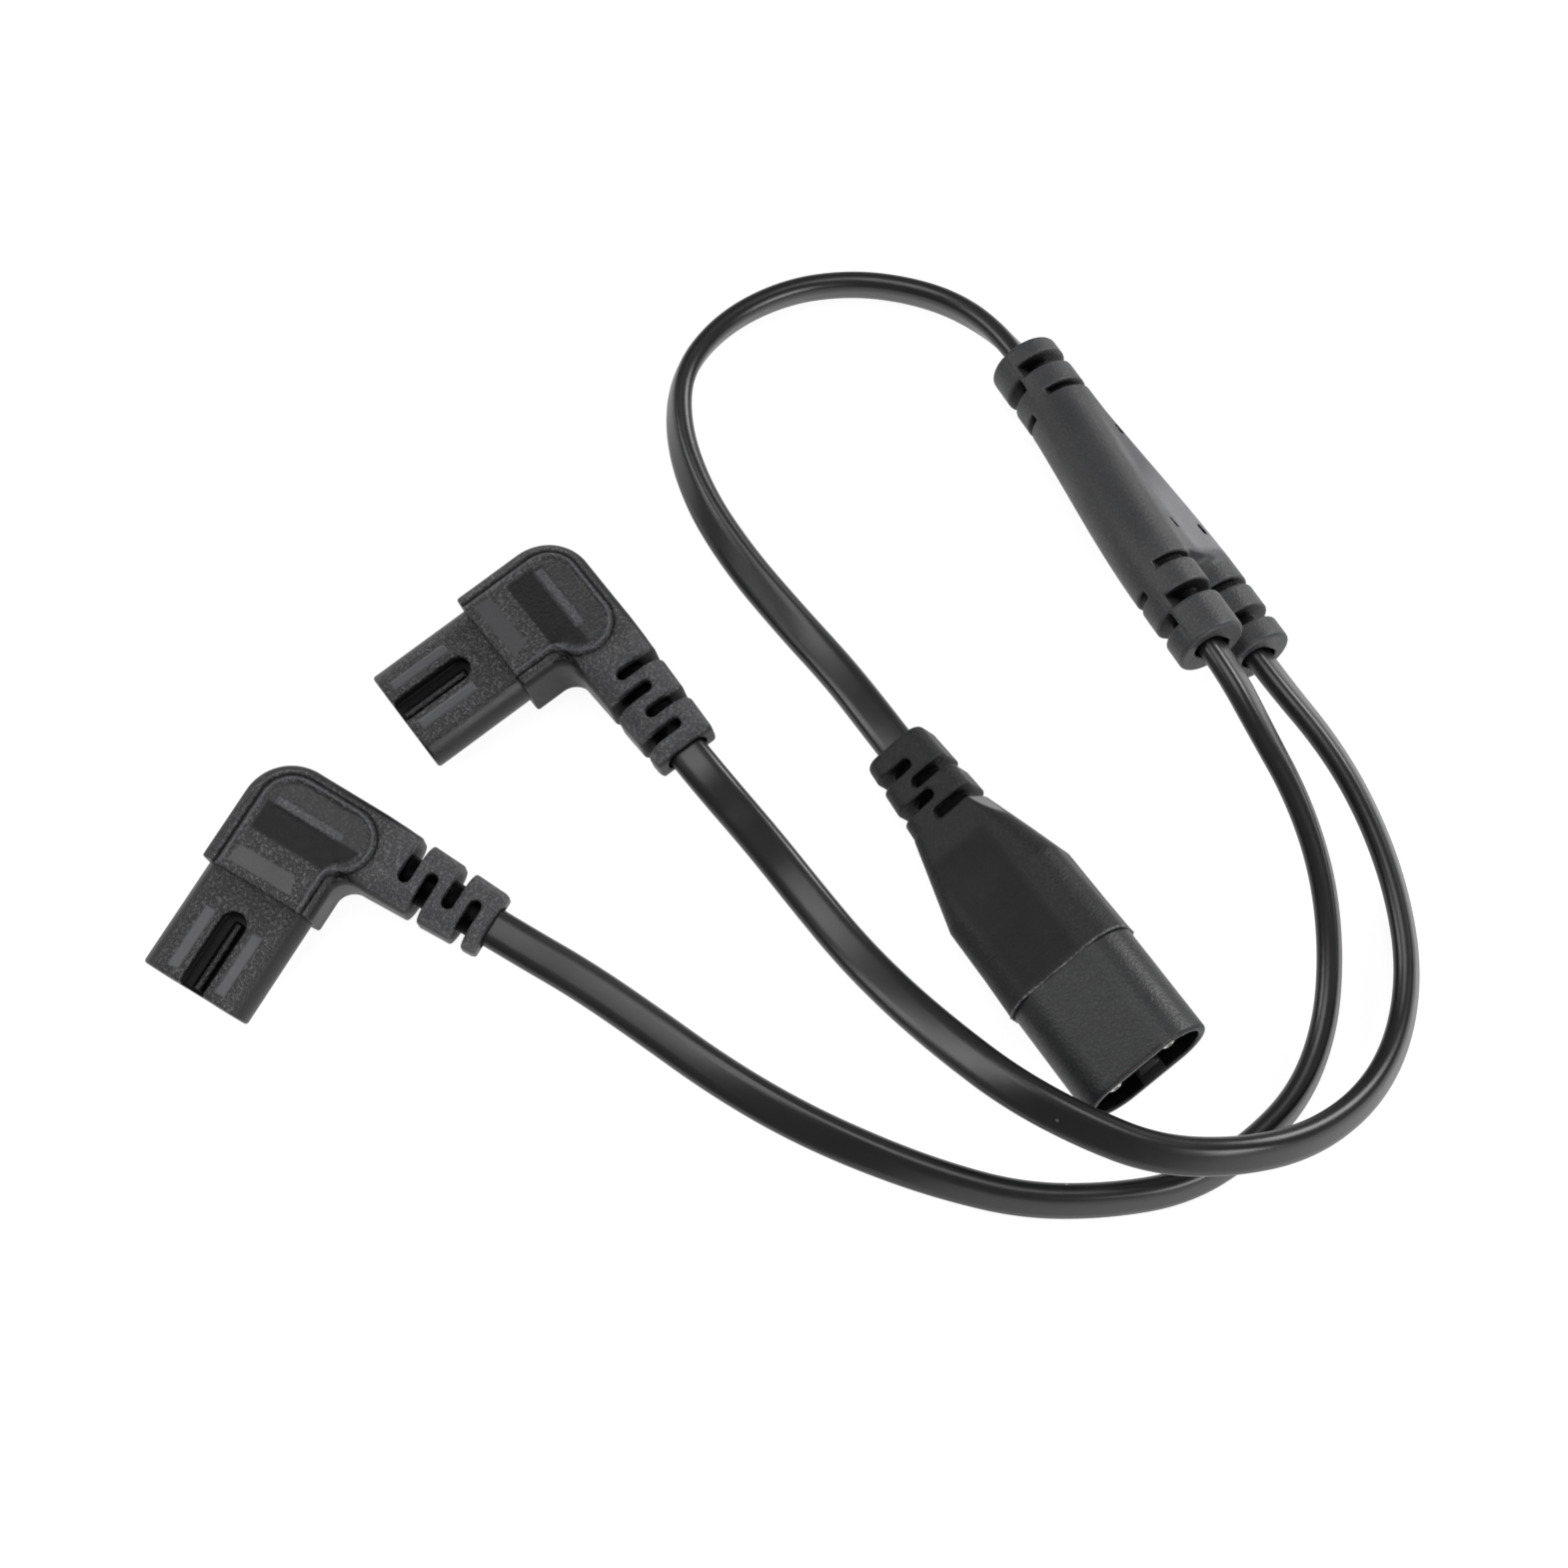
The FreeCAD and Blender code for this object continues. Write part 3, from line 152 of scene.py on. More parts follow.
class Shader(Nodes):
    """A principled material."""

    def __init__(self, name, base, roughness, metallic=0.0):
        self.material = bpy.data.materials.new(name)
        self.material.use_nodes = True
        super().__init__(self.material.node_tree)
        self.main = self.tree.nodes["Principled BSDF"]
        self.set(Base_Color=(*base, 1), Roughness=roughness, Metallic=metallic)
        self.where = self.tree.nodes.new("ShaderNodeTexCoord").outputs["Object"]
        self.bump_normal = None

    def set(self, **inputs):
        for key, value in inputs.items():
            self.feed(self.main.inputs[key.replace("_", " ")], value)

    def noise(self, scale, detail=3.0, roughness=0.6, vector=None):
        made = self.node("ShaderNodeTexNoise", Vector=vector or self.where, Scale=scale, Detail=detail,
                         Roughness=roughness)
        return made.outputs["Fac"]

    def cells(self, scale):
        return self.node("ShaderNodeTexVoronoi", Vector=self.where, Scale=scale).outputs["Distance"]

    def attribute(self, name):
        made = self.tree.nodes.new("ShaderNodeAttribute")
        made.attribute_name = name
        return made.outputs["Fac"]

    def bump(self, height, strength, distance):
        """Bump on top of the bumps so far; distance is in metres."""
        made = self.node("ShaderNodeBump", Height=height, Strength=strength, Distance=distance)
        if self.bump_normal:
            self.feed(made.inputs["Normal"], self.bump_normal)
        self.bump_normal = made.outputs["Normal"]
        self.feed(self.main.inputs["Normal"], self.bump_normal)


# Colours that the mesh attribute "shade" leads to at 1, 2 and -1: painted light, pale painted highlight,
# painted shade; at 0 a material has its own
PAINTED_LIGHT = (0.06, 0.061, 0.066)
PAINTED_PALE_LIGHT = (0.4, 0.4, 0.41)
PAINTED_SHADE = (0.002, 0.002, 0.0022)
DUST = (0.35, 0.35, 0.35)


def moulded(name, base, roughness, grain_depth, grain_scale, glint):
    """Moulded black plastic.

    Attributes on the mesh say where it is grained (grain) and where light and shade are painted into its
    colour (shade).
    glint is the brightness of the glints painted as lighter specks on the grain.
    """
    s = Shader(name, base, roughness)
    grain = s.attribute("grain")
    shade = s.attribute("shade")
    mottle = s.noise(160.0, 4.0)
    pebble = s.noise(grain_scale, 2.0)
    colour = s.blend(s.span(mottle, 0.35, 0.7, 0.0, 0.5), base, tuple(v * 1.5 + 0.003 for v in base))
    # painted light, pale painted highlight and painted shade mixed into the colour by the shade attribute
    for start, end, tone in ((0.0, 1.0, PAINTED_LIGHT), (1.0, 2.0, PAINTED_PALE_LIGHT), (0.0, -1.0, PAINTED_SHADE)):
        colour = s.blend(s.span(shade, start, end, 0.0, 1.0), colour, tone)
    # painted glints fade where shade is painted
    away_from_painted_shade = s.span(shade, -0.5, 0.0, 0.1, 1.0)
    painted_glint = s.calc("MULTIPLY", s.span(pebble, 0.5, 0.68, 0.0, 1.0), s.calc("MULTIPLY", grain, away_from_painted_shade))
    # painted glints: lighter specks on the grain in place of glints of light
    s.set(Base_Color=s.blend(s.calc("MULTIPLY", painted_glint, 0.7), colour, (glint, glint, glint * 1.04)))
    # weaker reflection where shade is painted
    s.set(Specular_IOR_Level=s.span(shade, -1.0, 0.0, 0.03, 0.5))
    s.set(Roughness=s.calc("ADD", s.span(mottle, 0.3, 0.7, roughness - 0.05, roughness + 0.06),
                           s.calc("MULTIPLY", painted_glint, -0.12)))
    s.bump(pebble, s.calc("MULTIPLY", grain, grain_depth), 0.0004)
    s.bump(s.noise(420.0), 0.1, 0.0002)
    return s.material


def sheath(name, base, roughness):
    """Extruded sheath: long faint drawing lines, slow waves, and a few specks of dust."""
    s = Shader(name, base, roughness)
    uv = s.node("ShaderNodeUVMap").outputs["UV"]
    stretch = s.node("ShaderNodeMapping", Vector=uv, Scale=(3.0, 60.0, 1.0))
    lines = s.noise(6.0, 4.0, 0.7, stretch.outputs["Vector"])
    slow = s.noise(90.0)
    colour = s.blend(s.span(slow, 0.35, 0.7, 0.0, 0.6), base, tuple(v * 1.5 + 0.002 for v in base))
    dust = s.calc("MULTIPLY", s.span(s.cells(330.0), 0.06, 0.1, 1.0, 0.0),
                  s.span(s.noise(60.0), 0.6, 0.7, 0.0, 0.5))
    s.set(Base_Color=s.blend(dust, colour, DUST))
    s.set(Roughness=s.calc("ADD", s.span(lines, 0.3, 0.7, -0.01, 0.01),
                           s.span(slow, 0.3, 0.7, roughness, roughness + 0.06)))
    s.bump(lines, 0.02, 0.0001)
    s.bump(slow, 0.15, 0.0003)
    s.bump(s.noise(3200.0, 2.0), 0.05, 0.0001)
    return s.material


def metal(name, base, roughness):
    """Drawn or plated metal with slight scuffs."""
    s = Shader(name, base, roughness, metallic=1.0)
    scuff = s.noise(900.0, 4.0, 0.7)
    s.set(Roughness=s.span(scuff, 0.3, 0.7, roughness - 0.06, roughness + 0.1))
    s.set(Base_Color=s.blend(s.span(s.noise(300.0), 0.4, 0.7, 0.0, 1.0), base,
                             tuple(v * 0.82 for v in base)))
    s.bump(scuff, 0.08, 0.0001)
    return s.material


def insulation(name, base):
    """Coloured plastic of a conductor."""
    s = Shader(name, base, 0.4)
    s.set(Base_Color=s.blend(s.span(s.noise(400.0), 0.35, 0.7, 0.0, 1.0), base,
                             tuple(v * 1.25 for v in base)))
    s.set(Roughness=s.span(s.noise(800.0), 0.3, 0.7, 0.34, 0.48))
    s.bump(s.noise(1500.0), 0.06, 0.0001)
    return s.material


# glint sets the brightness of the painted glints on each plastic's grain
BLACK = moulded("black_moulding", (0.012, 0.012, 0.0135), 0.4,
                grain_depth=1.0, grain_scale=2600.0, glint=0.13)
SOFT_BLACK = moulded("soft_black_moulding", (0.0115, 0.0122, 0.0132), 0.5,
                     grain_depth=0.5, grain_scale=2800.0, glint=0.07)
HARD_BLACK = moulded("hard_black_moulding", (0.011, 0.012, 0.0132), 0.44,
                     grain_depth=0.4, grain_scale=2800.0, glint=0.06)
CABLE = sheath("cable_sheath", (0.006, 0.006, 0.0066), 0.28)
PLATED = metal("plated_pin", (0.95, 0.94, 0.92), 0.42)
BRASS = metal("brass", (0.75, 0.55, 0.26), 0.3)
BROWN = insulation("brown_core", (0.16, 0.07, 0.03))
BLUE = insulation("blue_core", (0.03, 0.09, 0.3))


# Distance fields: negative inside. Arguments are arrays that broadcast together.

def low_of(*fields):
    """Union."""
    return functools.reduce(np.minimum, fields)


def both(*fields):
    """Intersection."""
    return functools.reduce(np.maximum, fields)


def soft_low(a, b, k):
    """Union whose inner corner is filled by about k."""
    h = np.clip(0.5 + 0.5 * (b - a) / k, 0, 1)
    return b + (a - b) * h - k * h * (1 - h)


def soft_high(a, b, k):
    """Intersection whose edge is rounded by about k."""
    return -soft_low(-a, -b, k)


def carve(a, b, k):
    """a without b, its edge rounded by about k."""
    return soft_high(a, -b, k)


def edge_distance(u, w, r):
    """Distance to two faces at right angles whose common edge is rounded by r."""
    u, w = u + r, w + r
    return np.hypot(np.maximum(u, 0), np.maximum(w, 0)) + np.minimum(np.maximum(u, w), 0) - r


def box2(x, y, cx, cy, hx, hy, r):
    """Rectangle with its centre at cx, cy and half sides hx, hy, its corners rounded by r."""
    return edge_distance(np.abs(x - cx) - hx, np.abs(y - cy) - hy, r)


def frame2(x, y, x0, x1, y0, y1, r):
    """Rectangle from x0 to x1 and from y0 to y1, its corners rounded by r."""
    return box2(x, y, (x0 + x1) / 2, (y0 + y1) / 2, (x1 - x0) / 2, (y1 - y0) / 2, r)


def bar2(x, y, a, b, r):
    """Round-ended bar from point a to point b."""
    dx, dy = b[0] - a[0], b[1] - a[1]
    t = np.clip(((x - a[0]) * dx + (y - a[1]) * dy) / (dx * dx + dy * dy), 0, 1)
    return np.hypot(x - a[0] - t * dx, y - a[1] - t * dy) - r


def poly2(x, y, corners):
    """Closed polygon."""
    nearest, within = np.inf, False
    for (ax, ay), (bx, by) in zip(corners, corners[1:] + corners[:1]):
        ex, ey = bx - ax, by - ay
        t = np.clip(((x - ax) * ex + (y - ay) * ey) / (ex * ex + ey * ey), 0, 1)
        nearest = np.minimum(nearest, (x - ax - t * ex) ** 2 + (y - ay - t * ey) ** 2)
        within = within ^ (((ay > y) != (by > y)) & (x < ex * (y - ay) / (ey or 1e-9) + ax))
    return np.where(within, -1, 1) * np.sqrt(nearest)


def slab(outline, z, half, r):
    """Outline drawn out to half each way, its rims rounded by r."""
    return edge_distance(outline, np.abs(z) - half, r)


# Rules that change a value gradually

def ramp(x, x0, x1, a, b):
    """a up to x0, b from x1 on, straight between."""
    return a + (b - a) * np.clip((x - x0) / (x1 - x0), 0, 1)


def ease(x, x0, x1, a, b):
    """a up to x0, b from x1 on, with a soft start and end between."""
    t = np.clip((x - x0) / (x1 - x0), 0, 1)
    return a + (b - a) * t * t * (3 - 2 * t)


def inside(outline, soft):
    """1 inside an outline and 0 outside, with a flank as wide as soft."""
    return ease(outline, -soft / 2, soft / 2, 1, 0)


def ridge(d, half):
    """Rounded ridge of height 1 where d is 0, as wide as half each way."""
    return np.maximum(0, 1 - (d / half) ** 2) ** 2


def same_everywhere(value):
    return lambda x, y, z: np.full(np.broadcast(x, y, z).shape, value)


def slot_depth(wall, start):
    """0 outside a slot's outline and 1 inside, already start at the outline itself."""
    return np.clip(-wall / 0.1 + start, 0, 1)


# Mesh of a field's zero level

SETTLING_STEPS = 3
LONGEST_MOVE = 0.3      # of a cell, in one settling step
PROBE = 0.02


def net(field, low, high, step):
    """Vertices and quads of the surface where field(x, y, z) is zero, in the field's units.

    Each cell that the surface crosses gets a vertex at the mean of the crossings on its edges. Each grid
    edge that the surface crosses gets a quad from the four cells round it. The vertices then settle on the
    surface.
    """
    axes = [np.arange(a, b + step, step) for a, b in zip(low, high)]
    x, y, z = axes[0][:, None, None], axes[1][None, :, None], axes[2][None, None, :]
    values = np.broadcast_to(field(x, y, z), [len(a) for a in axes]).astype(np.float32)
    within = values < 0
    n = [len(a) - 1 for a in axes]
    corners = list(itertools.product((0, 1), repeat=3))

    def window(array, corner):
        return array[tuple(slice(c, size + c) for c, size in zip(corner, n))]

    count = sum(window(within, c).astype(np.int8) for c in corners)
    active = (count > 0) & (count < 8)
    index = np.full(active.shape, -1, dtype=np.int64)
    index[active] = np.arange(active.sum())
    base = np.argwhere(active).astype(np.float64)
    level = {c: window(values, c)[active].astype(np.float64) for c in corners}
    total = np.zeros_like(base)
    hits = np.zeros(len(base))
    for a, b in itertools.combinations(corners, 2):
        if sum(p != q for p, q in zip(a, b)) != 1:
            continue
        fa, fb = level[a], level[b]
        cross = (fa < 0) != (fb < 0)
        t = np.where(cross, fa / np.where(cross, fa - fb, 1), 0)
        spot = np.array(a) + t[:, None] * (np.array(b) - np.array(a))
        total += np.where(cross[:, None], spot, 0)
        hits += cross
    points = (base + total / hits[:, None]) * step + np.array([a[0] for a in axes])
    quads = []
    for axis in range(3):
        u, v = [k for k in range(3) if k != axis]
        here, ahead = [slice(None)] * 3, [slice(None)] * 3
        here[axis], ahead[axis] = slice(0, n[axis]), slice(1, n[axis] + 1)
        for k in (u, v):
            here[k] = ahead[k] = slice(1, n[k])
        change = within[tuple(here)] != within[tuple(ahead)]
        out = within[tuple(here)][change]
        spots = np.argwhere(change)
        spots[:, [u, v]] += 1
        ring = []
        for du, dv in ((-1, -1), (0, -1), (0, 0), (-1, 0)):
            cell = spots.copy()
            cell[:, u] += du
            cell[:, v] += dv
            ring.append(index[cell[:, 0], cell[:, 1], cell[:, 2]])
        ring = np.stack(ring, 1)
        turned = out if axis != 1 else ~out
        quads.append(np.where(turned[:, None], ring, ring[:, ::-1]))
    for _ in range(SETTLING_STEPS):
        x, y, z = points.T
        slope = np.stack([
            field(x + PROBE, y, z) - field(x - PROBE, y, z),
            field(x, y + PROBE, z) - field(x, y - PROBE, z),
            field(x, y, z + PROBE) - field(x, y, z - PROBE)], 1) / (2 * PROBE)
        move = -(field(x, y, z) / np.maximum((slope**2).sum(1), 0.25))[:, None] * slope
        far = np.linalg.norm(move, axis=1, keepdims=True)
        points += move * np.minimum(1, LONGEST_MOVE * step / np.maximum(far, 1e-9))
    return points, np.concatenate(quads)


def solid(name, field, low, high, step, material, moulding, node, marks, extra=None):
    """Object made from a field in a moulding's own millimetres; it stands for the CAD node.

    marks are rules for the material's attributes; extra is a small strip of (vertices, faces) joined on.
    """
    points, quads = net(field, low, high, step)
    corners, faces = points.tolist(), quads.tolist()
    if extra:
        faces += [[len(points) + k for k in face] for face in extra[1]]
        corners += extra[0]
        points = np.array(corners)
    mesh = bpy.data.meshes.new(name)
    mesh.from_pydata(corners, [], faces)
    for mark, rule in marks.items():
        data = mesh.attributes.new(mark, "FLOAT", "POINT")
        data.data.foreach_set("value", np.broadcast_to(rule(*points.T), len(points)).astype(np.float32))
    mesh.transform(place(moulding))
    smooth(mesh)
    mesh.update()
    thing = put(name, mesh)
    mesh.materials.append(material)
    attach(thing, "root")
    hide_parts(node)


# Right-angle outlet: the nose points along x from its shoulder at 0, the neck along y

NECK = -11.85
NECK_END = 28.2
NECK_FLOOR = 26.2
OUTLET_CORD_START = 26.0
SLOT_RADIUS = 0.85
SLEEVE_RADIUS = 2.75
# Station along the neck, and the side on which it is open
SLOTS = ((25.0, 1), (18.5, 1), (21.8, -1), (15.3, -1))
RAISED_BAR = (-11.5, -10.35, -4.0, 6.0)
POLISHED_PATCH = [(-1.25, -4.9), (-3.6, -4.6), (-3.8, 3.6), (-1.4, 4.6)]
NUB = (-16.6, 11.3, -0.2)
NOSE_END = 15.2
NOSE_HALF_WIDTH, NOSE_HALF_HEIGHT = 7.8, 3.95
PIN_OFFSET = 4.3
ENTRY_RADIUS, CONTACT_RADIUS = 1.4, 1.76
GROOVE_FLOOR = 1.95
CREST_LINE = 0.45


def lobed(x, y, front, rear, left, right, corner, lobe, line):
    """Outline with one round rear corner on its left and a round lobe that bulges to its right."""
    r = np.where((x < rear + corner) & (y < left + corner), corner, 0.4)
    bulge = np.hypot(x - rear - lobe, y - line) - lobe
    return soft_low(frame2(x, y, rear, front, left, right, r), bulge, ramp(x, -10.5, -7.5, 0.05, 1.5))


def pad_outline(x, y):
    return lobed(x, y, 1.0, -15.25, -6.0, 6.6, 4.5, 4.3, 6.0)


def recess_outline(x, y):
    return lobed(x, y, -6.05, -14.6, -5.0, 6.4, 3.6, 3.65, 5.6)


def bar_outline(x, y):
    return frame2(x, y, *RAISED_BAR, 0.2)


def patch_outline(x, y):
    return poly2(x, y, POLISHED_PATCH)


def on_left(y):
    """The second line outside the pad's groove fades out along the pad's left half."""
    return ease(y, -3.5, -1.0, 1, 0)


def pad_relief(x, y):
    """Height over the head's flat top: pad, bead on its rim with a groove outside, recess and bar."""
    rim = pad_outline(x, y)
    deep = inside(recess_outline(x, y), 0.7)
    height = 0.24 * inside(rim, 0.3) + 0.17 * ridge(rim + 0.34, 0.36) - 0.14 * ridge(rim - 0.28, 0.3)
    height = height + 0.12 * ridge(rim - 0.72, 0.22) * on_left(y)
    height = height - 0.3 * deep * ramp(y, 4.5, 8.0, 1.0, 0.45)
    return height + 0.26 * inside(bar_outline(x, y), 0.5) * deep


def slot_outline(x, y, station, side):
    return bar2(x, y, (NECK - side * 0.7, station), (NECK + side * 9, station), SLOT_RADIUS)


def outlet_mouth(x, z):
    return box2(x, z, NECK, 0, 3.0, 1.8, 1.75)


def outlet_body(x, y, z):
    """Head with its pad, and the neck with its slots round a sleeve."""
    corner = np.where((x < -8.45) & (y < 0), 6.8, 0.9)
    head = box2(x, y, -6.45, 0, 10.45, 8.35, corner)
    neck_half = ramp(y, 12, NECK_END, 5.05, 4.5)
    neck = both(np.abs(x - NECK) - neck_half, -y - 2, y - NECK_END)
    fillet = both(box2(x, y, -5.7, 9.2, 1.6, 1.6, 0), 2.5 - np.hypot(x + 4.3, y - 10.85))
    half_height = ramp(y, 10, NECK_END, 5.4, 3.95)
    lift = pad_relief(x, y) * np.clip(z / 3, 0, 1)
    body = slab(low_of(head, neck, fillet), z - lift, half_height, ramp(y, 9, 13, 2.0, 3.0))
    body = soft_high(body, x, 0.4)
    sleeve = np.hypot(x - NECK, z) - SLEEVE_RADIUS
    for station, side in SLOTS:
        body = carve(body, both(slot_outline(x, y, station, side), -sleeve), 0.3)
    body = soft_high(body, y - NECK_END, 1.2)
    nub = np.sqrt((x - NUB[0]) ** 2 + (y - NUB[1]) ** 2 + (z - NUB[2]) ** 2) - 0.42
    body = soft_low(body, nub, 0.3)
    return carve(body, both(outlet_mouth(x, z), NECK_FLOOR - y), 0.3)


def on_top(y, z):
    """1 on the flat top of the head and neck, 0 on the sides."""
    return np.clip((z - ramp(y, 9, 13, 4.7, 3.6) + ramp(y, 13, NECK_END, 0, 1.6)) / 0.5, 0, 1)


def outlet_grain(x, y, z):
    """Grain on the flat top; smooth on the sides, in the patch and over most of the recess."""
    patch = np.clip(patch_outline(x, y) / 0.15, 0, 1)
    recess = np.clip(recess_outline(x, y) / 0.3 + 1, 0.35, 1)
    bar = inside(bar_outline(x, y), 0.3)
    return np.maximum(on_top(y, z) * patch * np.maximum(recess, bar), 0.08)


def outlet_shade(x, y, z):
    """Painted shade in slots, mouth, groove, recess and on the sides; painted highlights on patch, rim, second
    line, bar and neck.
    """
    top = on_top(y, z)
    rim = pad_outline(x, y)
    recess = inside(recess_outline(x, y) + 0.2, 0.4)
    bar = inside(bar_outline(x, y), 0.6)
    front = ease(x, -10.8, -10.2, 0, 1)
    # painted sheen on the smooth patch and painted highlight on the raised bar
    value = 0.35 * inside(patch_outline(x, y), 0.2) + 0.95 * bar * recess
    # painted shade over the recess, deeper towards its front
    value = value - (1 - bar) * recess * (0.12 + 0.5 * front)
    # painted highlights along the rim's bead and along the second line on the left
    value = value + 1.1 * ridge(rim + 0.34, 0.33) + 0.6 * ridge(rim - 0.72, 0.22) * on_left(y)
    # painted shadow in the groove outside the rim
    value = value - 0.9 * ridge(rim - 0.28, 0.26)
    # painted highlight over the top of the neck
    value = value + 0.35 * ease(y, 9.5, 12.5, 0, 1)
    dark = np.zeros_like(value)
    # painted shade deep in the slots near the sleeve, and in the cord's mouth
    near_sleeve = ease(np.hypot(x - NECK, z), 3.2, 4.6, 0.95, 0.3)
    for station, side in SLOTS:
        dark = np.maximum(dark, slot_depth(slot_outline(x, y, station, side), 0.6) * near_sleeve)
    dark = np.maximum(dark, np.clip((y - OUTLET_CORD_START) / 0.3, 0, 1) * (outlet_mouth(x, z) < 0.12))
    # painted shade on the sides
    return np.clip(value * top - dark - 0.6 * (1 - top), -1, 1)


def groove_outline(x, y):
    return bar2(x, y, (5.55, 0), (20, 0), 1.8)


def polished_bars(x, y):
    return low_of(*(box2(x, y, 9.4, line, 4.4, 0.72, 0.05) for line in (-3.5, 3.5)))


def nose(x, y, z):
    """Figure-eight nose: crested keying groove and polished bars on both faces, and two pin entries."""
    section = box2(y, z, 0, 0, NOSE_HALF_WIDTH, NOSE_HALF_HEIGHT, 3.94)
    body = soft_high(soft_high(section, x - NOSE_END, 0.5), -3.0 - x, 0.1)
    for side in (1, -1):
        body = carve(body, both(groove_outline(x, y), GROOVE_FLOOR - z * side), 0.3)
        crest = both(np.hypot(y - CREST_LINE, z * side - GROOVE_FLOOR) - 0.62, 4.9 - x, x - 14.7)
        body = soft_low(body, crest, 0.25)
        body = carve(body, both(polished_bars(x, y), 3.87 - z * side), 0.05)
    for centre in (-PIN_OFFSET, PIN_OFFSET):
        from_pin = np.hypot(y - centre, z)
        body = carve(body, both(from_pin - ENTRY_RADIUS, 13.4 - x), 0.2)
        chamber = both(from_pin - CONTACT_RADIUS, x - 13.8)
        body = both(body, -chamber)
    return body


def nose_grain(x, y, z):
    """Grain on the flat faces and the crests, none on the polished bars."""
    flat = np.clip((np.abs(z) - 2.9) / 0.6, 0, 1)
    crest = (np.abs(y - CREST_LINE) < 0.5) & (np.abs(z) < 2.8) & (x > 5) & (x < 14.8)
    return np.maximum(np.maximum(flat * np.clip(polished_bars(x, y) / 0.12, 0, 1), 0.9 * crest), 0.08)


def nose_shade(x, y, z):
    """Painted highlights on the polished bars and the crest, painted shade in the groove and on the sides."""
    flat = np.clip((np.abs(z) - 3.2) / 0.3, 0, 1)
    groove = inside(groove_outline(x, y), 0.25) * (np.abs(z) < 3.8) * (x < 15.1)
    crest = ridge(y - CREST_LINE, 0.6) * (x > 5) * (x < 14.7) * (np.abs(z) > 2.2) * (np.abs(z) < 2.9)
    # painted highlight on the polished bars, painted shade on the sides
    value = 0.9 * inside(polished_bars(x, y), 0.15) * flat - 0.35 * (1 - flat)
    # painted shade in the groove, with a painted highlight on its crest
    return np.clip(value - 0.5 * groove + 0.9 * groove * crest, -1, 1.1)


for outlet in ("outlet_a", "outlet_b"):
    solid(outlet + "_head", outlet_body, (-17.6, -9.0, -6.0), (0.8, 29.0, 6.4), 0.19, BLACK,
          outlet, outlet + "_overmould", {"grain": outlet_grain, "shade": outlet_shade})
    solid(outlet + "_plug_nose", nose, (-3.6, -8.4, -4.6), (15.8, 8.4, 4.6), 0.19, BLACK,
          outlet, outlet + "_nose", {"grain": nose_grain, "shade": nose_shade})


# In-line inlet: its mouth is at x = 0, the grip starts at the seam, and the cord leaves towards -x

SEAM = -15.9
SHOULDER = -29.5
WEDGE = -42.3
TAIL = -55.0
INLET_FLOOR = -53.4
INLET_CORD_START = -53.2
# Station along the neck, and the side on which it is open
INLET_SLOTS = ((-51.2, -1), (-45.8, -1), (-48.3, 1), (-42.9, 1))
LABEL_FRAMES = ((-36.5, -26.8, -2.9, 2.7), (-25.6, -18.6, -4.4, 3.4))
GRIP_HALF_WIDTH, GRIP_HALF_HEIGHT, GRIP_CORNER = 9.3, 5.65, 4.25


def inlet_half_width(x):
    return np.interp(x, (TAIL, WEDGE, SHOULDER, SEAM), (4.6, 5.3, 8.9, GRIP_HALF_WIDTH))


def inlet_half_height(x):
    return np.interp(x, (TAIL, WEDGE, SHOULDER), (4.0, 4.6, GRIP_HALF_HEIGHT))


def wedge_facet(x, y, z):
    """Sloping facet on the wedge's left side; it runs out towards the grip's shoulder."""
    gone = ease(x, WEDGE, -30.0, 0, 2.2) + 9 * (x < WEDGE)
    return (y - inlet_half_width(x)) * 0.95 + np.abs(z) * 0.31 - 0.2 - gone


def inlet_slot(x, y, station, side):
    return bar2(x, y, (station, 0.0), (station, side * 9), SLOT_RADIUS)


def inlet_mouth(y, z):
    return box2(y, z, 0, 0, 2.9, 1.7, 1.65)


def label_field(x, y):
    return box2(x, y, -27.0, -0.8, 10.5, 4.4, 0.6)


def inlet_body(x, y, z):
    """Grip with a flat label field, wedge, and neck with staggered slots."""
    corner = np.where(x > WEDGE, ramp(x, WEDGE, -22, 1.6, 4.2), 2.2)
    section = box2(y, z, 0, 0, inlet_half_width(x), inlet_half_height(x), corner)
    section = soft_high(section, wedge_facet(x, y, z), 0.4)
    body = soft_high(section, x - SEAM, 0.1)
    for label_frame in LABEL_FRAMES:
        body = body + 0.035 * ridge(np.abs(frame2(x, y, *label_frame, 0.2)), 0.2) * (z > 3)
    sleeve = np.hypot(y, z) - ramp(x, -46.5, -43.5, SLEEVE_RADIUS, 3.7)
    for station, side in INLET_SLOTS:
        body = carve(body, both(inlet_slot(x, y, station, side), -sleeve), 0.3)
    body = soft_high(body, TAIL - x, 0.9)
    return carve(body, both(inlet_mouth(y, z), x - INLET_FLOOR), 0.3)


def inlet_grain(x, y, z):
    """Fine grain that fades over the flat label field."""
    return np.clip(0.6 + label_field(x, y) * 0.2, 0.4, 0.7)


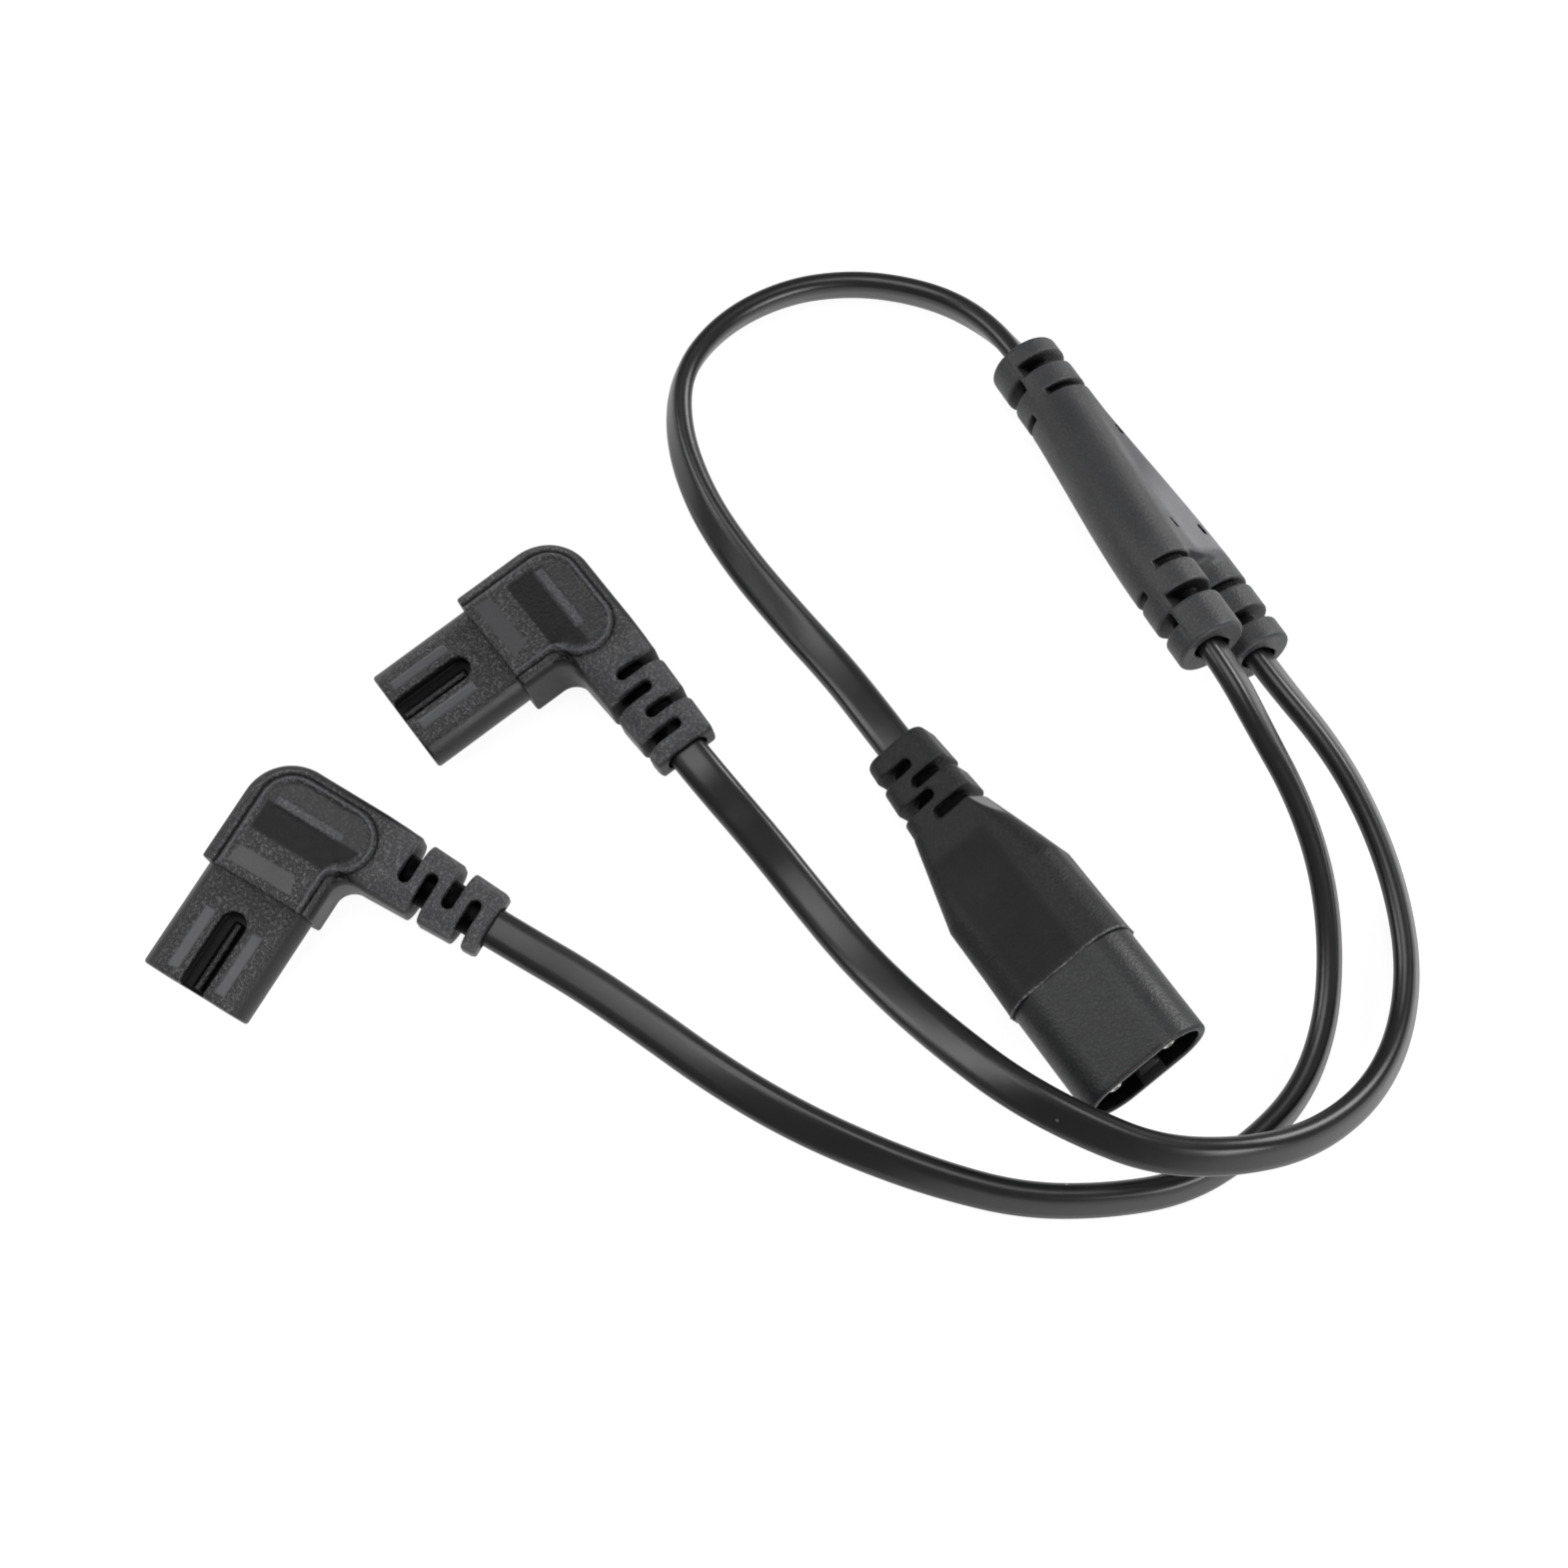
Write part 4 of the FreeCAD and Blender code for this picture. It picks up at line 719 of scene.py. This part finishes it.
def inlet_shade(x, y, z):
    """Painted shade in slots, mouth and over the grip, label field darker still; painted reflection on the
    facet, highlight on the fin.
    """
    dark = np.zeros(np.broadcast(x, y, z).shape)
    # painted shade deep in the slots and in the cord's mouth
    for station, side in INLET_SLOTS:
        dark = np.maximum(dark, slot_depth(inlet_slot(x, y, station, side), 0.6) * (np.hypot(y, z) < 4.6))
    dark = np.maximum(dark, np.clip((INLET_FLOOR - x) / 0.3, 0, 1) * (inlet_mouth(y, z) < 0.12))
    label = inside(label_field(x, y), 1.5) * (z > 2)
    # painted pale reflection on the wedge's sloping facet
    facet = np.clip(wedge_facet(x, y, z) / 0.12 + 1.3, 0, 1) * ease(x, WEDGE, WEDGE + 0.8, 0, 1)
    # painted shade of 0.4 over the rest of the grip; the label field is 0.2 darker still
    value = np.where(dark > 0.02, -dark, 1.3 * facet - 0.4 * (1 - facet) - 0.2 * label)
    fin = (x > -16.1) & (box2(y, z, 0, 0, GRIP_HALF_WIDTH, GRIP_HALF_HEIGHT, GRIP_CORNER) > -0.2)
    # painted highlight along the thin fin at the seam
    painted_fin_highlight = 1.15 + 0.7 * np.sin(5 * y) * np.sin(17 * y + 1)
    return np.clip(np.where(fin, painted_fin_highlight, value), -1, 2)


def flash_line():
    """Ragged thin fin where the grip meets the shroud: a strip along the section's outline."""
    angles = np.linspace(0, 2 * math.pi, 220, endpoint=False)
    wave = 0.5 + 0.5 * np.sin(angles * 23) * np.sin(angles * 7 + 1) + 0.3 * np.sin(angles * 61)
    root = 0.985
    vertices, faces = [], []

    def on_outline(half, part):
        return GRIP_CORNER * part + (half - GRIP_CORNER) * max(-1, min(1, 2.4 * part))

    for angle, w in zip(angles, wave):
        across = on_outline(GRIP_HALF_WIDTH, math.cos(angle))
        up = on_outline(GRIP_HALF_HEIGHT, math.sin(angle))
        out = 1 + (0.09 + 0.16 * max(0, w)) / math.hypot(across, up)
        for x, reach in ((-15.98, root), (-15.93, out), (-15.82, root)):
            vertices.append((x, across * reach, up * reach))
    for i in range(len(angles)):
        a, b = 3 * i, 3 * ((i + 1) % len(angles))
        faces += [(a, b, b + 1, a + 1), (a + 1, b + 1, b + 2, a + 2), (a + 2, b + 2, b, a)]
    return vertices, faces


def cavity_outline(y, z):
    return box2(y, z, 0, 0, 8.1, 4.25, 4.24)


def shroud(x, y, z):
    """Open shroud with two keying ribs and the floor that holds the pins."""
    body = soft_high(box2(y, z, 0, 0, 9.2, 5.5, 5.49), x, 0.5)
    body = soft_high(body, -17.5 - x, 0.1)
    cavity = both(cavity_outline(y, z), -14.3 - x)
    for side in (1, -1):
        rib = both(np.abs(y) - ramp(z * side, 3.1, 4.8, 1.2, 1.7), 3.15 - z * side, x + 1.6)
        cavity = soft_high(cavity, -rib, 0.2)
    return carve(body, cavity, 0.3)


def shroud_shade(x, y, z):
    """Painted shade in the cavity and a little over the rest, painted light on the ribs' crests, and a painted
    highlight round its rim.
    """
    cavity = (cavity_outline(y, z) < 0.15) & (x > -14.6) & (x < -0.25)
    crest = (np.abs(y) < 1.8) & (np.abs(z) > 2.9) & (np.abs(z) < 4.3)
    rim = inside(np.abs(cavity_outline(y, z) - 0.12), 0.2) * (x > -0.5)
    # painted shade in the cavity, painted light on the ribs' crests and round the rim, slight painted shade
    # elsewhere
    return np.where(cavity, np.where(crest, 0.45, -0.9), 0.9 * rim - 0.15)


solid("inlet_grip", inlet_body, (-56.6, -9.9, -6.3), (-15.4, 9.9, 6.3), 0.22, SOFT_BLACK,
      "inlet", "inlet_overmould", {"grain": inlet_grain, "shade": inlet_shade}, flash_line())
solid("inlet_socket", shroud, (-18.0, -9.7, -6.0), (0.6, 9.7, 6.0), 0.2, HARD_BLACK,
      "inlet", "inlet_shroud", {"grain": same_everywhere(0.5), "shade": shroud_shade})


# Splitter: the trunk starts near x = 0, and the branches end at 57, 6.5 to each side

TRUNK_START = 2.2
BRANCH_END = 57
BRANCH_OFFSET = 6.5
TUBE_RADIUS = 4.8
# Half width of a slot, and how near it comes to the middle plane
WIDE, NARROW = (1.05, 0.35), (0.6, 1.6)
RING_SLOTS = (
    # station, kind, 1 for the upper face or -1 for the lower, 0 for the trunk or the side of the branch
    (7.8, WIDE, 1, 0), (12.9, NARROW, 1, 0), (6.0, WIDE, -1, 0), (11.2, NARROW, -1, 0),
    (47.0, NARROW, 1, 1), (52.4, WIDE, 1, 1), (44.7, NARROW, -1, 1), (50.1, WIDE, -1, 1),
    (44.9, NARROW, 1, -1), (50.3, WIDE, 1, -1), (47.2, NARROW, -1, -1), (52.6, WIDE, -1, -1),
)
DENTS = ((19.8, -1.7), (37.2, 0.8), (38.1, -4.9))
MOUTHS = ((0, TRUNK_START), (BRANCH_OFFSET, BRANCH_END), (-BRANCH_OFFSET, BRANCH_END))


def branch_axis(x):
    return ease(x, 4, 46, 0, BRANCH_OFFSET)


def off_axis(x, y):
    """Distance across from the trunk's axis, and further on from where the nearer branch ends."""
    return np.where(x < 20, y, np.abs(y) - BRANCH_OFFSET)


def ring_slot(x, y, z, station, kind, up, side):
    half, floor = kind
    cut = both(np.abs(x - station) - half, floor - z * up)
    return both(cut, -y * side) if side else cut


def dent_outline(x, y, dent, r):
    dx, dy = dent
    return bar2(x, y, (dx - 0.55, dy + 0.1), (dx + 0.55, dy - 0.1), r)


def cord_mouth(x, y, z, centre, end):
    return both(box2(y, z, centre, 0, 3.0, 1.9, 1.8), np.abs(x - end) - 1.7)


def splitter_body(x, y, z):
    """Two round tubes that part from one trunk, a thinner web between them, slotted collars."""
    tubes = soft_low(*(np.hypot(y - side * branch_axis(x), z) - TUBE_RADIUS for side in (1, -1)), 1.2)
    web = slab(both(np.abs(y) - branch_axis(x), x - 42.5, 5 - x), z, 4.1, 0.3)
    body = soft_low(tubes, web, 1.6)
    across = off_axis(x, y)
    sleeve = box2(across, z, 0, 0, 1.5, 2.6, 1.4)
    for station, kind, up, side in RING_SLOTS:
        cut = ring_slot(x, y, z, station, kind, up, side)
        if kind is NARROW:
            cut = both(cut, 3.7 - np.hypot(across, z))
        body = carve(body, both(cut, -sleeve), 0.25)
    for dent in DENTS:
        for up in (1, -1):
            body = carve(body, both(dent_outline(x, y, dent, 0.3), 3.6 - z * up), 0.08)
    body = soft_high(soft_high(body, TRUNK_START - x, 0.6), x - BRANCH_END, 0.6)
    parting_line = np.where(np.abs(x - 28.5) > 20, ridge(z - 0.25, 0.16), 0)
    body = body + 0.07 * parting_line
    for centre, end in MOUTHS:
        body = carve(body, cord_mouth(x, y, z, centre, end), 0.3)
    return body


def splitter_shade(x, y, z):
    """Painted shade in the slots, dents and cord mouths, a painted reflection on the slope along the web, and
    slight painted light elsewhere.
    """
    dark = np.zeros(np.broadcast(x, y, z).shape)
    below_skin = np.hypot(off_axis(x, y), z) < 4.5
    # painted shade deep in the slots, in the dents and in the cord mouths
    for row in RING_SLOTS:
        dark = np.maximum(dark, slot_depth(ring_slot(x, y, z, *row), 0.5) * below_skin)
    for dent in DENTS:
        dark = np.maximum(dark, dent_outline(x, y, dent, 0.35) < 0)
    for centre, end in MOUTHS:
        dark = np.maximum(dark, cord_mouth(x, y, z, centre, end) < 0.15)
    # painted reflection of the table on the slope along the web
    slope = ease(x, 12, 34, 0, 1) * ease(x, 41, 44, 1, 0) * ease(-y, -4.8, 1.5, 0, 1) * (np.abs(z) > 2.5)
    # slight painted light over the rest of the splitter
    return np.where(dark > 0.02, -0.9 * dark, 0.2 + 1.1 * slope)


solid("splitter_moulded", splitter_body, (-0.6, -12.0, -5.5), (57.6, 12.0, 5.5), 0.21, SOFT_BLACK,
      "splitter", "splitter_overmould", {"grain": same_everywhere(0.45), "shade": splitter_shade})


# Cords: flat sheath of 5.4 by 3 millimetres

HALF_WIDTH, HALF_THICK = 2.7 * MM, 1.5 * MM
STRAIGHT_EXIT = 6.0
RING_SPACING = 0.6 * MM
SECTION_POINTS = 28
UV_PER_METRE = 20

# Control points on and over the table, in millimetres
ROUTES = {
    "feed_cable": (
        (22.2, 16.9, 2.6), (21.0, 27.5, 2.3), (20.0, 38.7, 2.5), (20.4, 49.7, 2.7), (23.3, 60.1, 2.7),
        (28.9, 68.1, 2.7), (38.1, 71.8, 2.7), (48.6, 71.3, 2.7), (57.6, 67.2, 2.7), (64.4, 61.0, 2.8),
        (68.3, 54.3, 3.5)),
    "inner_cable": (
        (59.8, -23.8, 16.0), (59.6, -33.2, 12.2), (57.6, -42.4, 8.0), (53.3, -50.9, 4.6), (47.0, -58.5, 2.8),
        (38.8, -63.8, 2.7), (29.4, -65.7, 2.7), (19.9, -65.4, 2.7), (10.5, -61.3, 2.7), (1.8, -55.6, 2.7),
        (-5.3, -47.9, 2.6), (-11.6, -39.3, 2.4), (-17.1, -30.3, 2.2), (-21.7, -20.6, 2.0), (-25.5, -10.6, 2.0),
        (-29.5, -1.0, 2.6)),
    "outer_cable": (
        (69.6, -28.7, 7.0), (68.7, -38.9, 5.2), (65.8, -49.1, 3.6), (60.9, -58.2, 2.8), (53.6, -65.2, 3.0),
        (44.8, -69.0, 5.2), (34.6, -69.6, 9.0), (24.9, -66.7, 12.6), (16.5, -61.2, 13.6), (11.0, -53.3, 13.6),
        (7.0, -44.5, 11.6), (4.8, -35.4, 8.2), (3.1, -26.2, 5.0), (1.8, -16.7, 3.0), (1.0, -7.2, 2.8),
        (0.0, 1.8, 4.6)),
}
# Share of the way along the cord, and how far its width stands up from flat there, in degrees. At its ends
# the angle is that of the moulding's mouth.
STANCE = {
    "feed_cable": ((0.12, 5), (0.32, 40), (0.5, 75), (0.9, 80)),
    "inner_cable": ((0.12, 60), (0.35, 75), (0.6, 60), (0.8, 12)),
    "outer_cable": ((0.12, 60), (0.35, 70), (0.5, 55), (0.68, 20), (0.85, 4)),
}
# At both ends: moulding, point where the cord starts, its way out, and the way its width lies
ENDS = {
    "feed_cable": (("inlet", (INLET_CORD_START, 0, 0), (-1, 0, 0), (0, 1, 0)),
                   ("splitter", (4.2, 0, 0), (-1, 0, 0), (0, 1, 0))),
    "inner_cable": (("splitter", (55.0, BRANCH_OFFSET, 0), (1, 0, 0), (0, 1, 0)),
                    ("outlet_a", (NECK, OUTLET_CORD_START, 0), (0, 1, 0), (1, 0, 0))),
    "outer_cable": (("splitter", (55.0, -BRANCH_OFFSET, 0), (1, 0, 0), (0, 1, 0)),
                    ("outlet_b", (NECK, OUTLET_CORD_START, 0), (0, 1, 0), (1, 0, 0))),
}


def control_points(name):
    """Route in metres, with a straight exit from the moulding at either end."""
    ends = []
    for moulding, start, way, _ in ENDS[name]:
        ends.append([place(moulding) @ (Vector(start) + Vector(way) * far) for far in (0, STRAIGHT_EXIT)])
    return ends[0] + [Vector(p) * MM for p in ROUTES[name]] + ends[1][::-1]


def centreline(points):
    """Even points along a quadratic spline, read from Blender's own curve, and how far along each lies."""
    curve = bpy.data.curves.new("route", "CURVE")
    curve.dimensions = "3D"
    curve.resolution_u = 24
    spline = curve.splines.new("NURBS")
    spline.points.add(len(points) - 1)
    for item, spot in zip(spline.points, points):
        item.co = (*spot, 1)
    spline.order_u = 3
    spline.use_endpoint_u = True
    guide = put("route", curve)
    bpy.context.view_layer.update()
    line = bpy.data.meshes.new_from_object(guide)
    spots = np.array([tuple(v.co) for v in line.vertices])
    bpy.data.objects.remove(guide)
    bpy.data.curves.remove(curve)
    bpy.data.meshes.remove(line)
    reach = np.r_[0, np.cumsum(np.linalg.norm(np.diff(spots, axis=0), axis=1))]
    even = np.linspace(0, reach[-1], int(reach[-1] / RING_SPACING))
    return np.stack([np.interp(even, reach, spots[:, k]) for k in range(3)], 1), even


def mouth_angle(end, flat, upward, near):
    """How far the width of a moulding's mouth stands up, taken the way round that is nearest to near."""
    moulding, _, _, across = end
    width = np.array(place(moulding).to_3x3() @ Vector(across))
    angle = math.degrees(math.atan2(width @ upward, width @ flat))
    return near + (angle - near + 90) % 180 - 90


def stance(name, flat, upward, share):
    """Angle of the cord's width at each share of the way, in radians, without kinks."""
    first, last = (mouth_angle(ENDS[name][k], flat[k], upward[k], STANCE[name][k][1]) for k in (0, -1))
    stops, angles = zip((0.0, first), *STANCE[name], (1.0, last))
    fine = np.linspace(0, 1, 400)
    kernel = np.hanning(61)
    raw = np.pad(np.interp(fine, stops, angles), len(kernel) // 2, mode="edge")
    return np.radians(np.interp(share, fine, np.convolve(raw, kernel / kernel.sum(), "valid")))


def sheath_section():
    """Flat oval with a shallow valley between the two cores: (across, up) in metres."""
    turns = np.linspace(0, 2 * math.pi, SECTION_POINTS, endpoint=False)
    straight = HALF_WIDTH - HALF_THICK
    across = HALF_THICK * np.cos(turns) + straight * np.clip(np.cos(turns) * 2.2, -1, 1)
    up = HALF_THICK * np.sin(turns) * (1 - 0.05 * np.exp(-((across / (0.45 * MM)) ** 2)))
    return across, up


def sweep(name, rings, reach):
    """Closed tube through the rings, with its way along and round as UV."""
    rows, count = rings.shape[:2]
    faces = []
    for i in range(rows - 1):
        for k in range(count):
            after = (k + 1) % count
            faces.append((i * count + k, i * count + after, (i + 1) * count + after, (i + 1) * count + k))
    faces.append(tuple(range(count))[::-1])
    faces.append(tuple((rows - 1) * count + k for k in range(count)))
    mesh = bpy.data.meshes.new(name)
    mesh.from_pydata(rings.reshape(-1, 3).tolist(), [], faces)
    mesh.update()
    index = np.empty(len(mesh.loops), dtype=np.int32)
    mesh.loops.foreach_get("vertex_index", index)
    uv = np.stack([reach[index // count] * UV_PER_METRE, (index % count) / count], 1)
    mesh.uv_layers.new(name="UVMap").data.foreach_set("uv", uv.ravel().astype(np.float32))
    smooth(mesh)
    return mesh


def make_cable(name):
    spots, reach = centreline(control_points(name))
    along = np.gradient(spots, axis=0)
    along /= np.linalg.norm(along, axis=1)[:, None]
    flat = np.cross(along, (0, 0, 1.0))
    flat /= np.linalg.norm(flat, axis=1)[:, None]
    upward = np.cross(flat, along)
    turn = stance(name, flat, upward, reach / reach[-1])[:, None]
    wide = np.cos(turn) * flat + np.sin(turn) * upward
    tall = np.cross(wide, along)
    across, up = sheath_section()
    rings = spots[:, None] + across[None, :, None] * wide[:, None] + up[None, :, None] * tall[:, None]
    cable = put(name + "_sheath", sweep(name, rings, reach))
    cable.data.materials.append(CABLE)
    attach(cable, "root")
    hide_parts(name)


for cable_name in ROUTES:
    make_cable(cable_name)


# Metal parts and conductors keep their CAD shape, but the splitter's conductors end where the sheaths begin

CORE_ENDS = (4.4, 54.8)


def trimmed_core(name, node):
    """Copy of a splitter core cut back to the sheaths' ends, standing for the CAD node."""
    back = place("splitter")
    to_local = back.inverted() @ node.matrix_world
    mesh = node.data.copy()
    for vertex in mesh.vertices:
        spot = to_local @ vertex.co
        spot.x = min(max(spot.x, CORE_ENDS[0]), CORE_ENDS[1])
        vertex.co = back @ spot
    copy = put(name + "_conductor", mesh)
    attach(copy, "root")
    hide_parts(name)
    return copy


def inner_material(name):
    """Material of a node that shows its CAD shape, or None for one that the forms above stand for."""
    if "_pin_" in name:
        return PLATED
    if "_contact_" in name or "splice" in name:
        return BRASS
    if "core" in name:
        return BROWN if name.endswith(("left", "upper")) else BLUE
    return None


def dress_inner_parts():
    for name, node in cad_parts.items():
        material = inner_material(name)
        if material:
            piece = trimmed_core(name, node) if name.startswith("splitter") and "core" in name else node
            piece.data.materials.clear()
            piece.data.materials.append(material)
            smooth(piece.data)


dress_inner_parts()


# Table and light

TABLE_HALF = 3.0
TABLE_GREY = (0.62, 0.62, 0.62)
TABLE_GREY_IN_VIEW = (0.25, 0.25, 0.25)
TABLE_GLOW, TABLE_GLOW_IN_VIEW = 0.5, 0.9
ROOM_LIGHT, ROOM_LIGHT_IN_VIEW = 0.14, 1.0
LAMPS = (
    # name, side in metres, place, power in watts
    ("overhead", 0.55, (-0.05, 0.2, 1.05), 3.5),
    ("top_left", 0.5, (-0.75, 0.75, 0.8), 4.5),
    ("right", 0.45, (0.95, 0.1, 0.5), 6.5),
    ("front", 0.5, (0.1, -0.95, 0.5), 6),
)


def make_table():
    """White table: plain white to the camera, dimmer for the light it throws on the lead."""
    mesh = bpy.data.meshes.new("table")
    s = TABLE_HALF
    mesh.from_pydata([(-s, -s, 0), (s, -s, 0), (s, s, 0), (-s, s, 0)], [], [(0, 1, 2, 3)])
    look = Shader("white_table", TABLE_GREY, 0.8)
    camera, seen = look.in_view(0.35)
    look.set(Specular_IOR_Level=0.1, Emission_Color=(1, 1, 1, 1))
    look.set(Base_Color=look.blend(camera, TABLE_GREY, TABLE_GREY_IN_VIEW))
    look.set(Emission_Strength=look.span(seen, 0.0, 1.0, TABLE_GLOW, TABLE_GLOW_IN_VIEW))
    mesh.materials.append(look.material)
    put("table", mesh)


def make_lamp(name, side, spot, power):
    """Square area lamp that looks at the lead."""
    data = bpy.data.lights.new(name, "AREA")
    data.size = side
    data.energy = power
    lamp = put(name, data)
    face_towards(lamp, spot, (0, 0, 0))


def make_room():
    """Dim room light that is plain white to the camera."""
    world = bpy.data.worlds.new("room")
    world.use_nodes = True
    bpy.context.scene.world = world
    background = world.node_tree.nodes["Background"]
    background.inputs["Color"].default_value = (1, 1, 1, 1)
    room = Nodes(world.node_tree)
    _, seen = room.in_view(0.15)
    room.feed(background.inputs["Strength"], room.span(seen, 0.0, 1.0, ROOM_LIGHT, ROOM_LIGHT_IN_VIEW))


make_table()
for lamp_row in LAMPS:
    make_lamp(*lamp_row)
make_room()
bpy.context.scene.view_settings.view_transform = "Standard"
